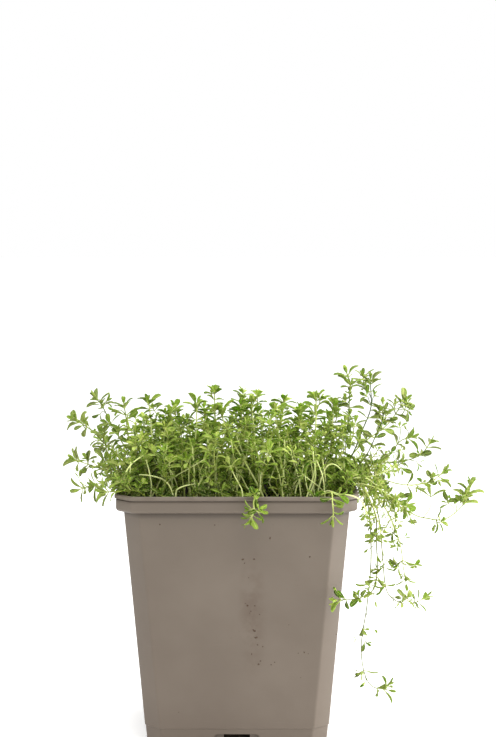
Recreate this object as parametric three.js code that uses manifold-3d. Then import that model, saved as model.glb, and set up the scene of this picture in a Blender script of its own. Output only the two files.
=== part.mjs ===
// A young thyme plant in a square, tapered nursery pot of taupe plastic, filled with dark potting compost.
// Units are millimetres and +Z is up. The origin is the centre of the pot's base, on the surface that it
// stands on, +X is to the right and -Y is towards the viewer of the pot's front.
import * as THREE from "three";
import { mergeVertices } from "three/addons/utils/BufferGeometryUtils.js";
import Module from "manifold-3d";

const wasm = await Module();
wasm.setup();

// ---------------------------------------------------------------- driving dimensions

const GAP = 0.3; // kept between pieces that touch

// The pot: a square with cut-off corners, wider at the top, with a stepped-out collar and a bead round it.
const POT = {
  height: 120,
  baseHalf: 41.5, // half the width at the base
  shoulder: 113, // height where the wall steps out into the collar
  shoulderHalf: 51,
  collarHalf: 54.4,
  beadHalf: 55,
  beadHeight: 1.3,
  wall: 1.2,
  floor: 2.8, // height of the floor's upper face
  footRing: 3,
  footLift: 1.4, // the underside stands this far off the surface between ring and boss
  footBand: 9.6, // height of the band round the foot
  footInset: 0.35, // the foot band lies this far back from the wall above it
  bossRadius: 11,
  cornerCut: 7.3, // leg of the cut across each corner
  cornerRound: 2, // radius where the cut meets the sides
  collarEdge: 0.8, // bevel under the collar
  softEdge: 0.3, // bevel at the bead and the foot band
};

// A drainage niche at the foot of each side, with a slot through its back wall.
const DRAIN = {
  width: 21,
  height: 6.8,
  depth: 2.6,
  topRound: 1.6,
  slotWidth: 12.2,
  slotTop: 6.3,
};

const SOIL = { edge: 109.2, crown: 1.5, cells: 8 };

const STEM = { rootRadius: 0.85, tipRadius: 0.6, rooted: 9, stepsPerSpan: 2, holeGap: 0.55, ballGap: 2 };

const LEAF = {
  length: 6.2,
  halfWidth: 1.6,
  halfThickness: 0.45,
  spacing: 8.5, // between pairs along the stem
  tipGap: 3, // between the last two pairs
  tipSeat: 0.5, // from the last pair to the stem's end
  tipSize: 0.8,
  turn: 0.74, // a pair stands on two opposite faces of the square stem, just off their middle
  pitch: 0.62, // rise of a blade from square to the stem, in radians
  tipPitch: 1.05,
  clearance: 0.12,
  balls: [[0.3, 1], [0.52, 1], [0.74, 0.9], [0.93, 0.45]], // balls that hold a blade: how far along, how wide
  // turns round the stem and rises that a blade tries, in radians, until one leaves it clear of the others
  tries: [[0, 0], [0.5, 0.1], [-0.5, 0.1], [0, 0.45], [0, -0.4], [0.9, 0.2], [-0.9, 0.2]],
};

// Stems whose place shows plainly. Each stands at root [x, y] in the compost and follows its route to the tip.
// bare is the share of its length that has no leaves, and spacing the gap between its leaf pairs.
const SPRIGS = {
  // sprawling over the left side of the rim
  left_corner: {
    root: [-37, -43],
    route: [[-45, -49, 122.3], [-53, -51, 122.8], [-60, -51, 122.6]],
    bare: 0.6,
  },
  left_low: { root: [-44, -31], route: [[-55, -31, 125], [-66, -32, 122.5], [-76, -33, 119]], bare: 0.3 },
  left_reach: {
    root: [-45, -19],
    route: [[-57, -20, 126], [-68, -22, 130], [-78, -24, 135]],
    bare: 0.35,
  },
  left_side: { root: [-45, -7], route: [[-52, -8, 122], [-60, -10, 130], [-66, -12, 142]], bare: 0.3 },
  left_high: { root: [-43, 6], route: [[-55, 5, 128], [-66, 4, 139], [-79, 0, 150]], bare: 0.35 },
  left_top: { root: [-39, 20], route: [[-52, 17, 129], [-61, 13, 146], [-69, 10, 161]], bare: 0.3 },
  left_inner: {
    root: [-35, -26],
    route: [[-45, -24, 130], [-51, -21, 146], [-53, -20, 161]],
    bare: 0.35,
  },

  // upright in the middle, from left to right
  mid_a: { root: [-35, -9], route: [[-39, -9, 135], [-42, -10, 161]], bare: 0.4 },
  mid_b: { root: [-27, 9], route: [[-31, 10, 133], [-33, 11, 152]], bare: 0.4 },
  mid_c: { root: [-16, -27], route: [[-19, -22, 136], [-19, -16, 161]], bare: 0.4 },
  mid_d: { root: [-14, -3], route: [[-11, 1, 138], [-11, 5, 163]], bare: 0.45 },
  mid_e: { root: [14, -38], route: [[6, -36, 131], [-4, -32, 147], [-8, -28, 160]], bare: 0.45 },
  mid_f: { root: [0, 16], route: [[2, 16, 135], [1.5, 16, 156]], bare: 0.4 },
  mid_g: { root: [9, -8], route: [[9, -8, 136], [7, -6, 159]], bare: 0.4 },
  mid_h: { root: [24, -29], route: [[20, -23, 138], [18, -14, 157]], bare: 0.4 },
  mid_i: { root: [26, 6], route: [[29, 8, 134], [30, 10, 153]], bare: 0.4 },
  mid_j: { root: [31, -39], route: [[35, -35, 128], [37, -28, 143], [37, -22, 166]], bare: 0.5 },
  mid_k: { root: [37, -8], route: [[44, -7, 136], [46.5, -5, 158]], bare: 0.45 },
  mid_l: { root: [35, 15], route: [[43, 14, 134], [45, 12, 151]], bare: 0.4 },

  // tall at the right
  right_front: { root: [37, -24], route: [[47, -26, 132], [53, -27, 143], [55.5, -26, 153]], bare: 0.4 },
  right_tall: { root: [39, 3], route: [[50, 2, 137], [54, 0, 155], [53, -1, 173]], bare: 0.4 },
  right_tallest: { root: [45, 19], route: [[58, 15, 134], [64, 10, 151], [65, 8, 170]], bare: 0.35 },
  right_mid: { root: [46, -11], route: [[58, -11, 129], [67, -10, 144], [71, -8, 159]], bare: 0.35 },
  right_back: { root: [45, 26], route: [[60, 23, 132], [73, 18, 145], [80, 14, 157]], bare: 0.4 },

  // spreading out to the right
  spread_a: {
    root: [45, -17],
    route: [[52, -18, 123], [62, -18, 129], [74, -16, 133], [83, -14, 143]],
    bare: 0.35,
  },
  spread_b: {
    root: [45, 1],
    route: [[52, 2, 123], [62, 3, 127], [78, 3, 128], [89, 3, 134], [94, 4, 142]],
    bare: 0.35,
  },
  spread_c: {
    root: [45, -5],
    route: [[51.5, -5, 122], [60, -6, 123.5], [78, -9, 119], [92, -10, 121], [99, -10, 130]],
    bare: 0.35,
  },
  spread_d: {
    root: [45, 13],
    route: [
      [51.5, 13, 122], [59, 13, 122.8], [76, 9, 109], [90, 5, 102], [102, 3, 102], [110, 2, 110],
      [114, 2, 122],
    ],
    bare: 0.35,
  },
  spread_e: {
    root: [45, -31],
    route: [[51.5, -31, 122], [58, -31, 123], [70, -32, 117], [81, -30, 112]],
    bare: 0.35,
  },

  // trailing down past the right side
  trail_front: {
    root: [45, -38],
    route: [
      [51.5, -38, 122], [58, -38, 122.5], [65, -36, 109], [67, -34, 89], [66, -37, 74], [59, -46, 69],
      [45, -55, 73],
    ],
    bare: 0.3,
    spacing: 12,
  },
  trail_mid: {
    root: [45, -24],
    route: [
      [51.5, -24, 122], [58.5, -24, 122.8], [70, -22, 109], [78, -20, 95], [81, -18, 82], [83, -15, 66],
    ],
    bare: 0.3,
    spacing: 12,
  },
  trail_curl: {
    root: [45, 7],
    route: [
      [51.5, 7, 122], [58, 8, 122.4], [67, 7, 104], [70, 4, 84], [73, 2, 67], [81, 1, 58.5], [92, 1, 65],
    ],
    bare: 0.35,
    spacing: 12,
  },
  trail_long: {
    root: [45, 33],
    route: [
      [51.5, 33, 122], [58, 32, 122.5], [65, 29, 104], [66, 26, 79], [64, 21, 54], [67, 17, 30], [78, 14, 18],
    ],
    bare: 0.35,
    spacing: 13,
  },

  // hanging over the front of the rim
  front_mid: {
    root: [12, -45],
    route: [[10, -51, 122.2], [7.5, -58, 121.5], [7, -61.5, 115], [6, -62, 107]],
    bare: 0.4,
  },
  front_right: {
    root: [40, -45],
    route: [[42, -51, 122.2], [44, -58, 121.5], [44.5, -61.5, 115], [43.5, -62, 106]],
    bare: 0.4,
  },

  // leaning out over the back of the rim
  back_left: { root: [-22, 44], route: [[-24, 51.5, 123], [-29, 61, 127], [-33, 69, 134]], bare: 0.35 },
  back_right: { root: [20, 44], route: [[22, 51.5, 122.5], [27, 60, 124.5], [33, 69, 123]], bare: 0.35 },
};

// The stems between them grow by rule, on a spiral of places over the compost, leaning outwards.
const TUFT = {
  seed: 20417,
  places: 64,
  spiral: 55, // radius of the spiral of places
  jitter: 3,
  reach: 44, // how far from the middle a root may stand, along either side
  rootClearance: 7.5,
  stemClearance: 3.4,
  tries: 14,
  height: [36, 46],
  lean: 0.3, // how far a tip stands out past its root, as a share of the root's distance from the middle
  bend: [0.45, 0.55], // a stem is this share of the way out at this share of its height
  stray: 9,
  most: 17,
  bare: 0.55,
};

// ---------------------------------------------------------------- solids

/** A closed geometry as a solid that can be joined and cut. */
function solid(geometry) {
  const bare = geometry.index ? geometry.toNonIndexed() : geometry.clone();
  bare.deleteAttribute("normal");
  bare.deleteAttribute("uv");
  const merged = mergeVertices(bare, 1e-4);
  return new wasm.Manifold(
    new wasm.Mesh({
      numProp: 3,
      vertProperties: new Float32Array(merged.attributes.position.array),
      triVerts: new Uint32Array(merged.index.array),
    }),
  );
}

/** A solid as a geometry with flat faces. */
function geometryOf(body) {
  const mesh = body.getMesh();
  const geometry = new THREE.BufferGeometry();
  geometry.setAttribute("position", new THREE.BufferAttribute(mesh.vertProperties, 3));
  geometry.setIndex(new THREE.BufferAttribute(mesh.triVerts, 1));
  const flat = geometry.toNonIndexed();
  flat.computeVertexNormals();
  return flat;
}

/** An outline extruded in unit steps, each point of which place(x, y, step) then moves to its position. */
function sweep(outline, steps, place) {
  const geometry = new THREE.ExtrudeGeometry(outline, {
    depth: steps,
    steps,
    bevelEnabled: false,
    curveSegments: 1,
  });
  const points = geometry.attributes.position;
  for (let i = 0; i < points.count; i += 1) {
    const moved = place(points.getX(i), points.getY(i), Math.round(points.getZ(i)));
    points.setXYZ(i, moved.x, moved.y, moved.z);
  }
  return solid(geometry);
}

function box(sizeX, sizeY, sizeZ, x, y, z) {
  return solid(new THREE.BoxGeometry(sizeX, sizeY, sizeZ).translate(x, y, z));
}

function disc(radius, sides, low, high) {
  const cylinder = new THREE.CylinderGeometry(radius, radius, high - low, sides);
  return solid(cylinder.rotateX(Math.PI / 2).translate(0, 0, (low + high) / 2));
}

// ---------------------------------------------------------------- pot

/** Half the pot's outer width at height z, below the collar and without the foot's inset. */
function wallHalf(z) {
  return POT.baseHalf + ((POT.shoulderHalf - POT.baseHalf) * z) / POT.shoulder;
}

/** A square of the given half width, its corners cut off and the cut's ends rounded. */
function potOutline(half) {
  const shape = new THREE.Shape();
  const near = half - POT.cornerRound;
  const far = half - POT.cornerCut - POT.cornerRound * Math.tan(Math.PI / 8);
  for (let quarter = 0; quarter < 4; quarter += 1) {
    const turn = (quarter * Math.PI) / 2;
    const centre = (x, y) => new THREE.Vector2(x, y).rotateAround(new THREE.Vector2(), turn);
    const first = centre(near, far);
    const second = centre(far, near);
    shape.absarc(first.x, first.y, POT.cornerRound, turn, turn + Math.PI / 4);
    shape.absarc(second.x, second.y, POT.cornerRound, turn + Math.PI / 4, turn + Math.PI / 2);
  }
  shape.closePath();
  return shape;
}

/** A solid through levels [z, half width] that keeps the shape of its corners from level to level. */
function potLoft(levels) {
  const half = levels[0][1];
  return sweep(potOutline(half), levels.length - 1, (x, y, step) => {
    const [z, levelHalf] = levels[step];
    const out = levelHalf - half;
    return new THREE.Vector3(x + Math.sign(x) * out, y + Math.sign(y) * out, z);
  });
}

/** The block behind a drainage niche, the niche and the slot through its back, turned to one side. */
function drainPieces(turn, clearance = 0) {
  const face = wallHalf(0);
  const back = DRAIN.depth + POT.wall + clearance;
  const blockWide = DRAIN.width + 2 * (POT.wall + clearance);
  const blockHigh = DRAIN.height + POT.wall + clearance;
  const blockMid = (blockHigh + POT.footLift) / 2;
  const block = box(blockWide, back, blockHigh - POT.footLift, 0, back / 2 - face, blockMid);

  const mouth = new THREE.Shape();
  const halfWide = DRAIN.width / 2;
  const [bendX, bendY] = [halfWide - DRAIN.topRound, DRAIN.height - DRAIN.topRound];
  mouth.moveTo(-halfWide, -1);
  mouth.lineTo(halfWide, -1);
  mouth.absarc(bendX, bendY, DRAIN.topRound, 0, Math.PI / 2);
  mouth.absarc(-bendX, bendY, DRAIN.topRound, Math.PI / 2, Math.PI);
  mouth.closePath();
  const reach = 2 * DRAIN.depth;
  const niche = sweep(mouth, 1, (x, y, step) => new THREE.Vector3(x, DRAIN.depth - face - reach * step, y));

  const slotHigh = DRAIN.slotTop - POT.floor;
  const slot = box(DRAIN.slotWidth, 4 * DRAIN.depth, slotHigh, 0, -face, POT.floor + slotHigh / 2);
  return [block, niche, slot].map((piece) => piece.rotate([0, 0, turn]));
}

const SIDES = [0, 90, 180, 270];
const GOLDEN_ANGLE = Math.PI * (3 - Math.sqrt(5));

function makePot() {
  const foot = wallHalf(POT.footBand);
  const outside = potLoft([
    [0, wallHalf(0) - POT.footInset],
    [POT.footBand - POT.softEdge, foot - POT.footInset],
    [POT.footBand, foot],
    [POT.shoulder, POT.shoulderHalf],
    [POT.shoulder, POT.collarHalf - POT.collarEdge],
    [POT.shoulder + POT.collarEdge, POT.collarHalf],
    [POT.height - POT.beadHeight, POT.collarHalf],
    [POT.height - POT.beadHeight + POT.softEdge, POT.beadHalf],
    [POT.height - POT.softEdge, POT.beadHalf],
    [POT.height, POT.beadHalf - POT.softEdge],
  ]);
  const ledge = POT.shoulder + POT.wall;
  const inside = potLoft([
    [POT.floor, wallHalf(POT.floor) - POT.wall],
    [ledge, wallHalf(ledge) - POT.wall],
    [ledge, POT.collarHalf - POT.wall],
    [POT.height + 1, POT.collarHalf - POT.wall],
  ]);
  const ring = wallHalf(0) - POT.footRing;
  const underside = potLoft([[-1, ring], [POT.footLift, ring]]);
  let pot = outside.subtract(inside).subtract(underside);
  pot = pot.add(disc(POT.bossRadius, 16, 0, (POT.footLift + POT.floor) / 2));
  const pieces = SIDES.map((turn) => drainPieces(turn));
  for (const [block] of pieces) pot = pot.add(block);
  for (const [, niche, slot] of pieces) pot = pot.subtract(niche).subtract(slot);
  return pot;
}

// ---------------------------------------------------------------- compost

/** Height of the compost's surface: gently crowned, with low lumps. */
function soilTop(x, y) {
  const away = (x * x + y * y) / (2 * POT.shoulderHalf * POT.shoulderHalf);
  const broad = 0.5 * Math.sin(0.31 * x + 1.3) * Math.cos(0.27 * y);
  const small = 0.3 * Math.sin(0.83 * x) * Math.sin(0.74 * y + 1);
  return SOIL.edge + SOIL.crown * (1 - away) + broad + small;
}

function makeSoil(stems) {
  const low = POT.floor + GAP;
  const inner = (z) => wallHalf(z) - POT.wall - GAP;
  const filling = potLoft([[low, inner(low)], [POT.shoulder, inner(POT.shoulder)]]);
  const size = 2 * POT.shoulderHalf;
  const block = new THREE.BoxGeometry(size, size, POT.shoulder, SOIL.cells, SOIL.cells, 1);
  const points = block.attributes.position;
  for (let i = 0; i < points.count; i += 1) {
    const isTop = points.getZ(i) > 0;
    points.setZ(i, isTop ? soilTop(points.getX(i), points.getY(i)) : 0);
  }
  let soil = filling.intersect(solid(block));
  for (const turn of SIDES) soil = soil.subtract(drainPieces(turn, GAP)[0]);
  for (const stem of stems) soil = soil.subtract(tube(stem.rings.slice(0, 3), STEM.holeGap, GAP));
  return soil;
}

// ---------------------------------------------------------------- stems

/** Centre line of a stem: straight up out of the compost, then smoothly through its route. */
function stemLine(sprig) {
  const [x, y] = sprig.root;
  const ground = soilTop(x, y);
  const points = [[x, y, ground - STEM.rooted], [x, y, ground + 1], ...sprig.route];
  return new THREE.CatmullRomCurve3(points.map((p) => new THREE.Vector3(...p)), false, "catmullrom", 0.5);
}

/** Cross-sections along a stem: where each is, its frame and its radius. */
function growStem(name, sprig) {
  const line = stemLine(sprig);
  const steps = STEM.stepsPerSpan * (line.points.length - 1);
  const tip = line.points[line.points.length - 1];
  // The stem bends mostly in the upright plane through root and tip, so this stays square to it.
  const across = new THREE.Vector3(sprig.root[1] - tip.y, tip.x - sprig.root[0], 0).normalize();
  const rings = [];
  for (let i = 0; i <= steps; i += 1) {
    if (i > 0 && i < STEM.stepsPerSpan) continue; // straight in the compost
    const share = i / steps;
    const along = line.getTangent(share);
    const side = across.clone().addScaledVector(along, -across.dot(along)).normalize();
    const up = along.clone().cross(side);
    const radius = STEM.rootRadius + (STEM.tipRadius - STEM.rootRadius) * share;
    rings.push({ at: line.getPoint(share), along, side, up, radius });
  }
  return { name, sprig, rings };
}

/** A square tube round a stem's rings, extra thicker and longer at its root. */
function tube(rings, extra = 0, longer = 0) {
  const outline = new THREE.Shape();
  outline.moveTo(1, 0);
  outline.lineTo(0, 1);
  outline.lineTo(-1, 0);
  outline.lineTo(0, -1);
  outline.closePath();
  return sweep(outline, rings.length - 1, (x, y, step) => {
    const { at, along, side, up, radius } = rings[step];
    const wide = radius + extra;
    const moved = at.clone().addScaledVector(side, x * wide).addScaledVector(up, y * wide);
    return step === 0 ? moved.addScaledVector(along, -longer) : moved;
  });
}

/** The point at a distance along a stem's rings, with the frame of the ring before it. */
function placeOn(rings, distance) {
  let left = distance;
  for (let i = 1; i < rings.length; i += 1) {
    const [from, to] = [rings[i - 1], rings[i]];
    const span = from.at.distanceTo(to.at);
    if (left <= span) return { ...from, at: from.at.clone().lerp(to.at, left / span) };
    left -= span;
  }
  return rings[rings.length - 1];
}

function stemLength(rings) {
  return rings.slice(1).reduce((sum, ring, i) => sum + ring.at.distanceTo(rings[i].at), 0);
}

/** Balls strung along a stem, which stand for it where others keep clear of it. */
function stemBalls(stem) {
  const total = stemLength(stem.rings);
  const count = Math.ceil(total / STEM.ballGap);
  const balls = Array.from({ length: count + 1 }, (_, i) => placeOn(stem.rings, (i * total) / count));
  return balls.map(({ at, radius }) => ({ at, radius, owner: stem.name }));
}

// ---------------------------------------------------------------- keeping clear

/** Balls that stand for what is already in place, so that new stems and leaves keep clear of it. */
const taken = [];

function isFree(balls, owner, margin) {
  const others = taken.filter((other) => other.owner !== owner);
  const clear = (ball, other) => ball.at.distanceTo(other.at) > ball.radius + other.radius + margin;
  return balls.every((ball) => others.every((other) => clear(ball, other)));
}

/** Whether a ball misses the pot and the compost. */
function clearsPot({ at, radius }) {
  const reach = Math.max(Math.abs(at.x), Math.abs(at.y));
  if (at.z - radius > POT.height + GAP) return true;
  if (at.z > POT.shoulder && reach - radius > POT.beadHalf + GAP) return true;
  if (at.z <= POT.shoulder && reach - radius > wallHalf(at.z) + GAP) {
    return at.z + radius < POT.shoulder - GAP || reach - radius > POT.beadHalf + GAP;
  }
  return reach + radius < POT.shoulderHalf - POT.wall - GAP && at.z - radius > soilTop(at.x, at.y) + GAP;
}

// ---------------------------------------------------------------- rule-grown stems

/** Seeded draws from 0 to 1. */
function draws(seed) {
  let state = seed;
  return () => {
    state = (state * 48271) % 2147483647;
    return state / 2147483647;
  };
}

/** Stems that fill the places the named ones leave free. */
function growTuft(named) {
  const draw = draws(TUFT.seed);
  const spread = (width) => (draw() - 0.5) * width;
  const roots = named.map((stem) => stem.sprig.root);
  const grown = [];
  for (let spot = 0; spot < TUFT.places && grown.length < TUFT.most; spot += 1) {
    const turn = spot * GOLDEN_ANGLE;
    const away = TUFT.spiral * Math.sqrt((spot + 0.5) / TUFT.places);
    const root = [Math.cos(turn) * away + spread(TUFT.jitter), Math.sin(turn) * away + spread(TUFT.jitter)];
    const inPot = Math.max(Math.abs(root[0]), Math.abs(root[1])) < TUFT.reach;
    const apart = roots.every(([x, y]) => Math.hypot(x - root[0], y - root[1]) > TUFT.rootClearance);
    if (!inPot || !apart) continue;
    for (let attempt = 0; attempt < TUFT.tries; attempt += 1) {
      const tall = TUFT.height[0] + draw() * (TUFT.height[1] - TUFT.height[0]);
      const tip = root.map((place) => place * (1 + TUFT.lean) + spread(TUFT.stray));
      const bend = root.map((place, axis) => place + TUFT.bend[0] * (tip[axis] - place));
      const route = [[...bend, SOIL.edge + TUFT.bend[1] * tall], [...tip, SOIL.edge + tall]];
      const sprig = { root, route, bare: TUFT.bare };
      const name = "tuft_" + String(grown.length + 1).padStart(2, "0");
      const stem = growStem(name, sprig);
      const balls = stemBalls(stem);
      if (!isFree(balls, name, TUFT.stemClearance)) continue;
      grown.push(stem);
      roots.push(root);
      taken.push(...balls);
      break;
    }
  }
  return grown;
}

// ---------------------------------------------------------------- leaves

/** A diamond-shaped blade with its foot at the origin, its length along +Z and its faces along Y. */
function bladeShape() {
  const profile = [new THREE.Vector2(0, -1), new THREE.Vector2(1, 0), new THREE.Vector2(0, 1)];
  const lens = new THREE.LatheGeometry(profile, 4);
  const half = LEAF.length / 2;
  return lens.scale(LEAF.halfWidth, LEAF.halfThickness, half).translate(0, 0, half);
}

const BLADE = bladeShape();

/** Where a blade stands on its stem: turned round it by turn, rising by pitch, at a share of full size. */
function bladePlace({ at, along, side, up }, turn, pitch, size) {
  const out = side.clone().multiplyScalar(Math.cos(turn)).addScaledVector(up, Math.sin(turn));
  const length = out.clone().multiplyScalar(Math.cos(pitch)).addScaledVector(along, Math.sin(pitch));
  const face = along.clone().multiplyScalar(Math.cos(pitch)).addScaledVector(out, -Math.sin(pitch));
  const width = face.clone().cross(length);
  const matrix = new THREE.Matrix4().makeBasis(width, face, length);
  matrix.scale(new THREE.Vector3(size, size, size)).setPosition(at);
  const balls = LEAF.balls.map(([share, wide]) => ({
    at: at.clone().addScaledVector(length, share * LEAF.length * size),
    radius: wide * LEAF.halfWidth * size,
  }));
  return { matrix, balls };
}

/** Opposite pairs along a stem, each turned a quarter from the last, closing up towards the tip. */
function leafPairs({ sprig, rings }) {
  const total = stemLength(rings);
  const gap = sprig.spacing ?? LEAF.spacing;
  const pairs = [];
  let from = total - LEAF.tipSeat;
  for (let order = 0; from > total * sprig.bare; order += 1) {
    const here = placeOn(rings, from);
    const pitch = order === 0 ? LEAF.tipPitch : LEAF.pitch;
    const size = order === 0 ? LEAF.tipSize : 1;
    pairs.push({ here, turn: LEAF.turn + (order * Math.PI) / 2, pitch, size });
    from -= order === 0 ? LEAF.tipGap : gap;
  }
  return pairs;
}

/** One leafy stem: its tube with each blade that finds room joined to it. */
function makeSprig(stem) {
  let body = tube(stem.rings);
  for (const { here, turn, pitch, size } of leafPairs(stem)) {
    for (const half of [0, Math.PI]) {
      const chosen = LEAF.tries
        .map(([twist, rise]) => bladePlace(here, turn + half + twist, pitch + rise, size))
        .find(({ balls }) => isFree(balls, stem.name, LEAF.clearance) && balls.every(clearsPot));
      if (!chosen) continue;
      taken.push(...chosen.balls.map((ball) => ({ ...ball, owner: stem.name })));
      body = body.add(solid(BLADE.clone().applyMatrix4(chosen.matrix)));
    }
  }
  return body;
}

// ---------------------------------------------------------------- the object

const taupePlastic = new THREE.MeshStandardMaterial({ color: 0x8a7e71, roughness: 0.55, metalness: 0 });
const compost = new THREE.MeshStandardMaterial({ color: 0x2b2019, roughness: 1, metalness: 0 });
const thymeGreen = new THREE.MeshStandardMaterial({ color: 0x6f9438, roughness: 0.6, metalness: 0 });

function addPiece(group, name, body, material) {
  const mesh = new THREE.Mesh(geometryOf(body), material);
  mesh.name = name;
  group.add(mesh);
}

const pottedThyme = new THREE.Group();

const namedStems = Object.entries(SPRIGS).map(([name, sprig]) => growStem(name, sprig));
for (const stem of namedStems) taken.push(...stemBalls(stem));
const stems = [...namedStems, ...growTuft(namedStems)];

addPiece(pottedThyme, "pot", makePot(), taupePlastic);
addPiece(pottedThyme, "compost", makeSoil(stems), compost);
for (const stem of stems) addPiece(pottedThyme, "sprig_" + stem.name, makeSprig(stem), thymeGreen);

export default pottedThyme;
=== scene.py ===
"""A young thyme plant in a square nursery pot of taupe plastic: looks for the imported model.

Lengths in the routes are millimetres in the model's frame: the origin is the middle of the pot's base, +Z is
up, +X is to the right and -Y is towards the viewer. Everything that Blender holds is in metres.
"""

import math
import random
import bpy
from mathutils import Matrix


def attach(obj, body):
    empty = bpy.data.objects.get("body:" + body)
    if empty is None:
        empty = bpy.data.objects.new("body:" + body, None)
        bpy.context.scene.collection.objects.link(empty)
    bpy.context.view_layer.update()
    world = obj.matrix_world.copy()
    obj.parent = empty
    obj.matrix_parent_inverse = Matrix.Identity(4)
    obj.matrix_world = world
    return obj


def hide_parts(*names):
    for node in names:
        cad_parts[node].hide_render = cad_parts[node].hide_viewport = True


bl_info = {
    "name": "Potted Thyme",
    "version": (1, 0, 0),
    "blender": (4, 5, 0),
    "location": "3D View > Sidebar > Thyme",
    "description": "Builds the pot, compost, stems and leaves of a potted thyme plant round its packed model",
    "category": "Object",
}

import bmesh
import bpy
from mathutils import Matrix, Vector

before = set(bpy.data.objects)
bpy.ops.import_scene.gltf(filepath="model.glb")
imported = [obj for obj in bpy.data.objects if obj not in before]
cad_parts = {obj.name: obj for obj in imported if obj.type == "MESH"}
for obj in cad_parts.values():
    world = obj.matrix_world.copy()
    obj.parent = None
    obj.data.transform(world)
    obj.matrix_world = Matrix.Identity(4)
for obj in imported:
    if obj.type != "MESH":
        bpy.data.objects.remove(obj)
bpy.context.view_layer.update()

MM = 0.001
QUARTER = math.pi / 2
SOFT = 0.3 * MM  # width of the small slopes along the pot's moulded edges

# ---------------------------------------------------------------- sizes and colours


def length(name, text, millimetres):
    """A length that the sidebar shows, given in millimetres."""
    return bpy.props.FloatProperty(
        name=name, description=text, default=millimetres * MM, min=0.0, precision=5, unit="LENGTH",
        subtype="DISTANCE"
    )


def amount(name, text, value, high=1.0):
    """A plain number that the sidebar shows."""
    return bpy.props.FloatProperty(name=name, description=text, default=value, min=0.0, max=high)


def count(name, text, value):
    """A whole number that the sidebar shows."""
    return bpy.props.IntProperty(name=name, description=text, default=value, min=0)


def colour(name, text, red, green, blue):
    """A colour that the sidebar shows, given as it looks on a screen, 0 to 255."""
    shares = [value / 255 for value in (red, green, blue)]
    linear = [share / 12.92 if share < 0.04 else ((share + 0.055) / 1.055) ** 2.4 for share in shares]
    return bpy.props.FloatVectorProperty(
        name=name, description=text, default=(*linear, 1.0), size=4, min=0.0, max=1.0, subtype="COLOR"
    )


class ThymePotSizes(bpy.types.PropertyGroup):
    """The pot: square with cut-off corners, wider at the top, with a stepped-out collar and a bead."""

    height: length("Height", "Height of the whole pot", 121)
    base_half: length("Base", "Half the pot's width at its base", 42.4)
    shoulder: length("Shoulder", "Height where the wall steps out into the collar", 113)
    shoulder_half: length("Shoulder width", "Half the pot's width at the shoulder", 51.9)
    collar_half: length("Collar", "Half the collar's width", 55.3)
    bead_half: length("Bead", "Half the width of the bead round the rim", 55.9)
    bead_height: length("Bead height", "Height of the bead", 1.9)
    wall: length("Wall", "Thickness of the wall", 1.2)
    floor: length("Floor", "Height of the floor's upper face", 2.8)
    foot_ring: length("Foot ring", "Width of the ring that the pot stands on", 3)
    foot_lift: length("Foot lift", "How far the underside stands off the ground inside the foot ring", 1.4)
    foot_band: length("Foot band", "Height of the band round the foot", 9.6)
    foot_inset: length("Foot inset", "How far the foot band lies back from the wall above it", 0.35)
    boss: length("Boss", "Radius of the boss in the middle of the underside", 11)
    corner_cut: length("Corner cut", "Leg of the cut across each corner", 7.3)
    corner_round: length("Corner radius", "Radius where the cut meets the sides", 2)
    drain_width: length("Niche width", "Width of the drainage niche at the foot of each side", 21)
    drain_height: length("Niche height", "Height of the drainage niche", 6.8)
    drain_depth: length("Niche depth", "Depth of the drainage niche", 2.6)
    slot_width: length("Slot width", "Width of the slot at the back of the niche", 12.2)
    slot_top: length("Slot top", "Height of the slot's upper edge", 6.3)


class ThymePotColours(bpy.types.PropertyGroup):
    """Colours of the pot."""

    plastic: colour("Plastic", "Taupe of the moulded plastic", 98, 88, 77)
    low: colour("Low plastic", "Warmer tone towards the foot", 98, 87, 76)
    # real dust in cloudy patches and scuffs, also used for the painted highlight along the bead
    dust_and_highlight: colour("Dust", "Dry dust in faint cloudy patches", 116, 106, 95)
    stain: colour("Stain", "Brown trace where wet compost ran down", 84, 70, 58)
    # painted shade: the colour of the dark bands painted under the collar and under the bead
    painted_shade: colour("Painted shade", "Grime gathered under the collar", 46, 36, 28)
    speck: colour("Speck", "Specks of compost stuck to the side", 66, 50, 40)


class ThymeCompostSettings(bpy.types.PropertyGroup):
    """The compost in the pot."""

    edge: length("Edge height", "Height of the surface at the pot's wall", 109.2)
    crown: length("Crown", "How far the middle stands above the edge", 1.5)
    side_gap: length("Side gap", "Gap between the compost and the pot", 0.3)
    lump: length("Lumps", "Height of the lumps", 2.2)
    crumbs: count("Crumbs", "Loose crumbs on the surface", 170)
    dark: colour("Dark compost", "Moist peat", 20, 16, 10)
    light: colour("Light compost", "Drier fibres and bark", 66, 52, 36)


class ThymeStemSettings(bpy.types.PropertyGroup):
    """The stems."""

    root_radius: length("Root radius", "Radius of a main stem at the compost", 0.62)
    tip_radius: length("Tip radius", "Radius of a main stem at its tip", 0.3)
    shoot_radius: length("Shoot radius", "Radius of a side shoot", 0.3)
    fine_radius: length("Fine radius", "Radius of the fine stems at the compost", 0.36)
    fine_count: count("Fine stems", "Places tried for a fine stem between the others", 210)
    seed: count("Seed", "Seed of everything that varies from stem to stem", 731)
    deep: colour("Stem deep green", "Shaded stem inside the bush", 54, 78, 8)
    green: colour("Stem green", "Young upper stem", 142, 155, 64)
    pale: colour("Stem pale", "Pale lower stem", 222, 231, 156)
    woody: colour("Stem woody", "Older stem near the compost", 64, 66, 20)


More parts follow.
